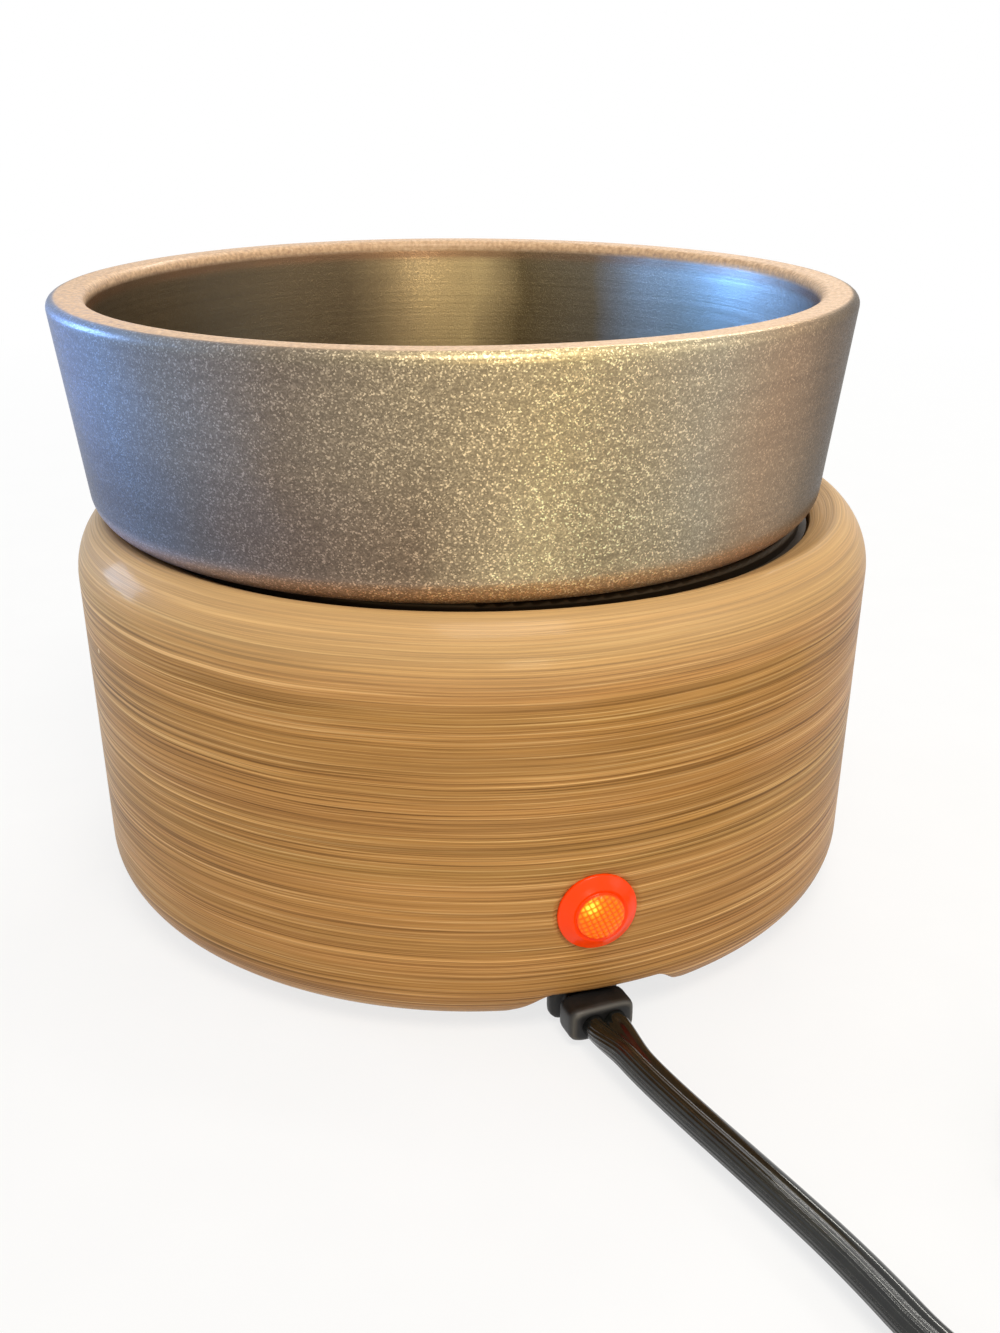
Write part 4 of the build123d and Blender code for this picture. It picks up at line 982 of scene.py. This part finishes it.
waffle = np.sqrt(np.abs(np.sin(along) * np.sin(crosswise)))
on_dome = smooth_step(-3.75, -3.5, -distance)[:, None]
cap_height = cap_height + 0.16 * (waffle - 0.5) * on_dome
back = np.array([
    (flange_radius, 0.0), (5.0, 0.0), (barrel_radius, 0.0),
    (barrel_radius, -6.0), (barrel_radius, -13.0), (3.2, -13.0),
])
u = np.vstack([u, back[:, :1] * np.cos(turn)[None]])
v = np.vstack([v, back[:, :1] * np.sin(turn)[None]])
cap_height = np.vstack([cap_height, np.repeat(back[:, 1:], len(turn), axis=1)])
wall_share = (lamp_height - foot_height) / (top_height - foot_height)
seat = foot_radius + (top_radius - foot_radius) * wall_share - seat_depth
cap_points = (
    (seat + cap_height)[..., None] * lamp_out
    + u[..., None] * lamp_side
    + v[..., None] * np.array((0, 0, 1.0))
    + np.array((0, 0, lamp_height))
) * mm
cap_mesh = grid_mesh("lamp_cap", cap_points, cap=True, flip=True)
glow_mask = np.zeros_like(u)
bulb = np.exp(-(((u + 1.8) / 1.4) ** 2 + ((v - 2.2) / 1.3) ** 2))[: len(waffle)]
glow_mask[: len(waffle)] = (0.33 + 0.67 * bulb) * (0.25 + 0.95 * waffle) * on_dome
set_mask(cap_mesh, "glow", np.clip(glow_mask, 0, 1))
place("lamp_cap", cap_mesh, "warmer", orange.material, ["lamp_lens"])
print("lamp cap stands", round(float(cap_height.max() - seat_depth), 2), "mm proud")

# %% [markdown]
# ## Finishes for the CAD pieces that stay
# The pieces inside and underneath keep their CAD shape, and each gets a finish of its own: a dark
# spun plate, zinc, mica, felt, moulded plastic and brass.

# %% Metal, mineral and plastic finishes


def plain_finish(name, low, high, scale, roughness, metallic=0.0, bump=0.00004, **sockets):
    """A finish with a fine mottle: two tones, a roughness that follows them, and a little relief."""
    made = Finish(name, roughness=roughness, metallic=metallic, **sockets)
    mottle = made.noise(made.scaled(scale), 4)
    made.colour(made.ramp(mottle, [(0.3, low), (0.7, high)]))
    made.rough(made.range(mottle, 0.3, 0.7, roughness + 0.06, roughness - 0.06))
    made.normal(made.bump(mottle, bump, 0.5))
    return made.material


def spun_finish(name, low, high, roughness):
    """Metal turned on a lathe: rings, which are noise on the distance from the axis."""
    made = Finish(name, roughness=roughness, metallic=1.0)
    length = made.node("ShaderNodeVectorMath", operation="LENGTH")
    made.link(made.scaled((1, 1, 0)), length.inputs[0])
    joined = made.node("ShaderNodeCombineXYZ")
    made.link(made.math("MULTIPLY", length.outputs["Value"], 2600), joined.inputs["X"])
    rings = made.noise(joined.outputs["Vector"], 2)
    made.colour(made.ramp(rings, [(0.3, low), (0.7, high)]))
    made.normal(made.bump(rings, 0.00003, 0.5))
    return made.material


finishes = {
    "plate_metal": spun_finish("dark_plate", srgb(58, 48, 36), srgb(76, 64, 48), 0.55),
    "silicone": plain_finish("dark_silicone", srgb(60, 52, 44), srgb(76, 67, 56), 200, 0.5),
    "mica": plain_finish("pressed_mica", srgb(176, 152, 108), srgb(214, 194, 150), (240, 240, 900), 0.35),
    "ribbon": plain_finish("heater_ribbon_metal", srgb(98, 92, 88), srgb(140, 134, 128), 700, 0.4, 1.0),
    "felt": plain_finish("mineral_felt", srgb(206, 204, 196), srgb(232, 230, 222), 900, 0.95, 0.0, 0.0003),
    "zinc": plain_finish("zinc_plate", srgb(148, 152, 158), srgb(190, 194, 198), 300, 0.35, 1.0),
    "black_plastic": plain_finish(
        "moulded_black", srgb(18, 18, 19), srgb(32, 32, 33), 1100, 0.48, 0, 0.00008
    ),
    "black_rubber": plain_finish("foot_rubber", srgb(20, 20, 20), srgb(38, 37, 36), 500, 0.8),
    "black_vinyl": black_vinyl.material,
    "lens": orange.material,
    "spring_steel": plain_finish(
        "spring_steel", srgb(120, 118, 116), srgb(160, 158, 155), (400, 400, 60), 0.3, 1.0
    ),
    "bulb_glass": plain_finish(
        "bulb_glass",
        srgb(250, 170, 110),
        srgb(255, 200, 150),
        100,
        0.08,
        bump=0.00001,
        Transmission_Weight=0.8,
    ),
    "nylon": plain_finish("natural_nylon", srgb(214, 212, 200), srgb(232, 230, 220), 300, 0.45),
    "wire_black": plain_finish("wire_black", srgb(22, 22, 22), srgb(36, 36, 36), 600, 0.35),
    "wire_white": plain_finish(
        "glass_sleeving", srgb(204, 200, 188), srgb(230, 228, 218), 1500, 0.9, 0, 0.0002
    ),
    "fuse_metal": plain_finish(
        "fuse_can", srgb(190, 178, 150), srgb(220, 210, 186), (200, 200, 900), 0.2, 1.0
    ),
    "lead_red": plain_finish("lead_red", srgb(140, 30, 24), srgb(176, 44, 34), 600, 0.4),
    "resistor": plain_finish("resistor_lacquer", srgb(196, 168, 124), srgb(220, 196, 152), 500, 0.5),
    "contact_brass": plain_finish(
        "stamped_brass", srgb(196, 160, 84), srgb(226, 192, 118), (300, 300, 1200), 0.26, 1.0
    ),
}
shown = 0
for part in frame["record"]["subparts"]:
    piece = nodes[part["node"]]
    if piece.hide_render:
        continue
    piece.data.materials.clear()
    piece.data.materials.append(finishes[part["material_slot"]])
    shown += 1
print("CAD pieces with their own finish", shown)
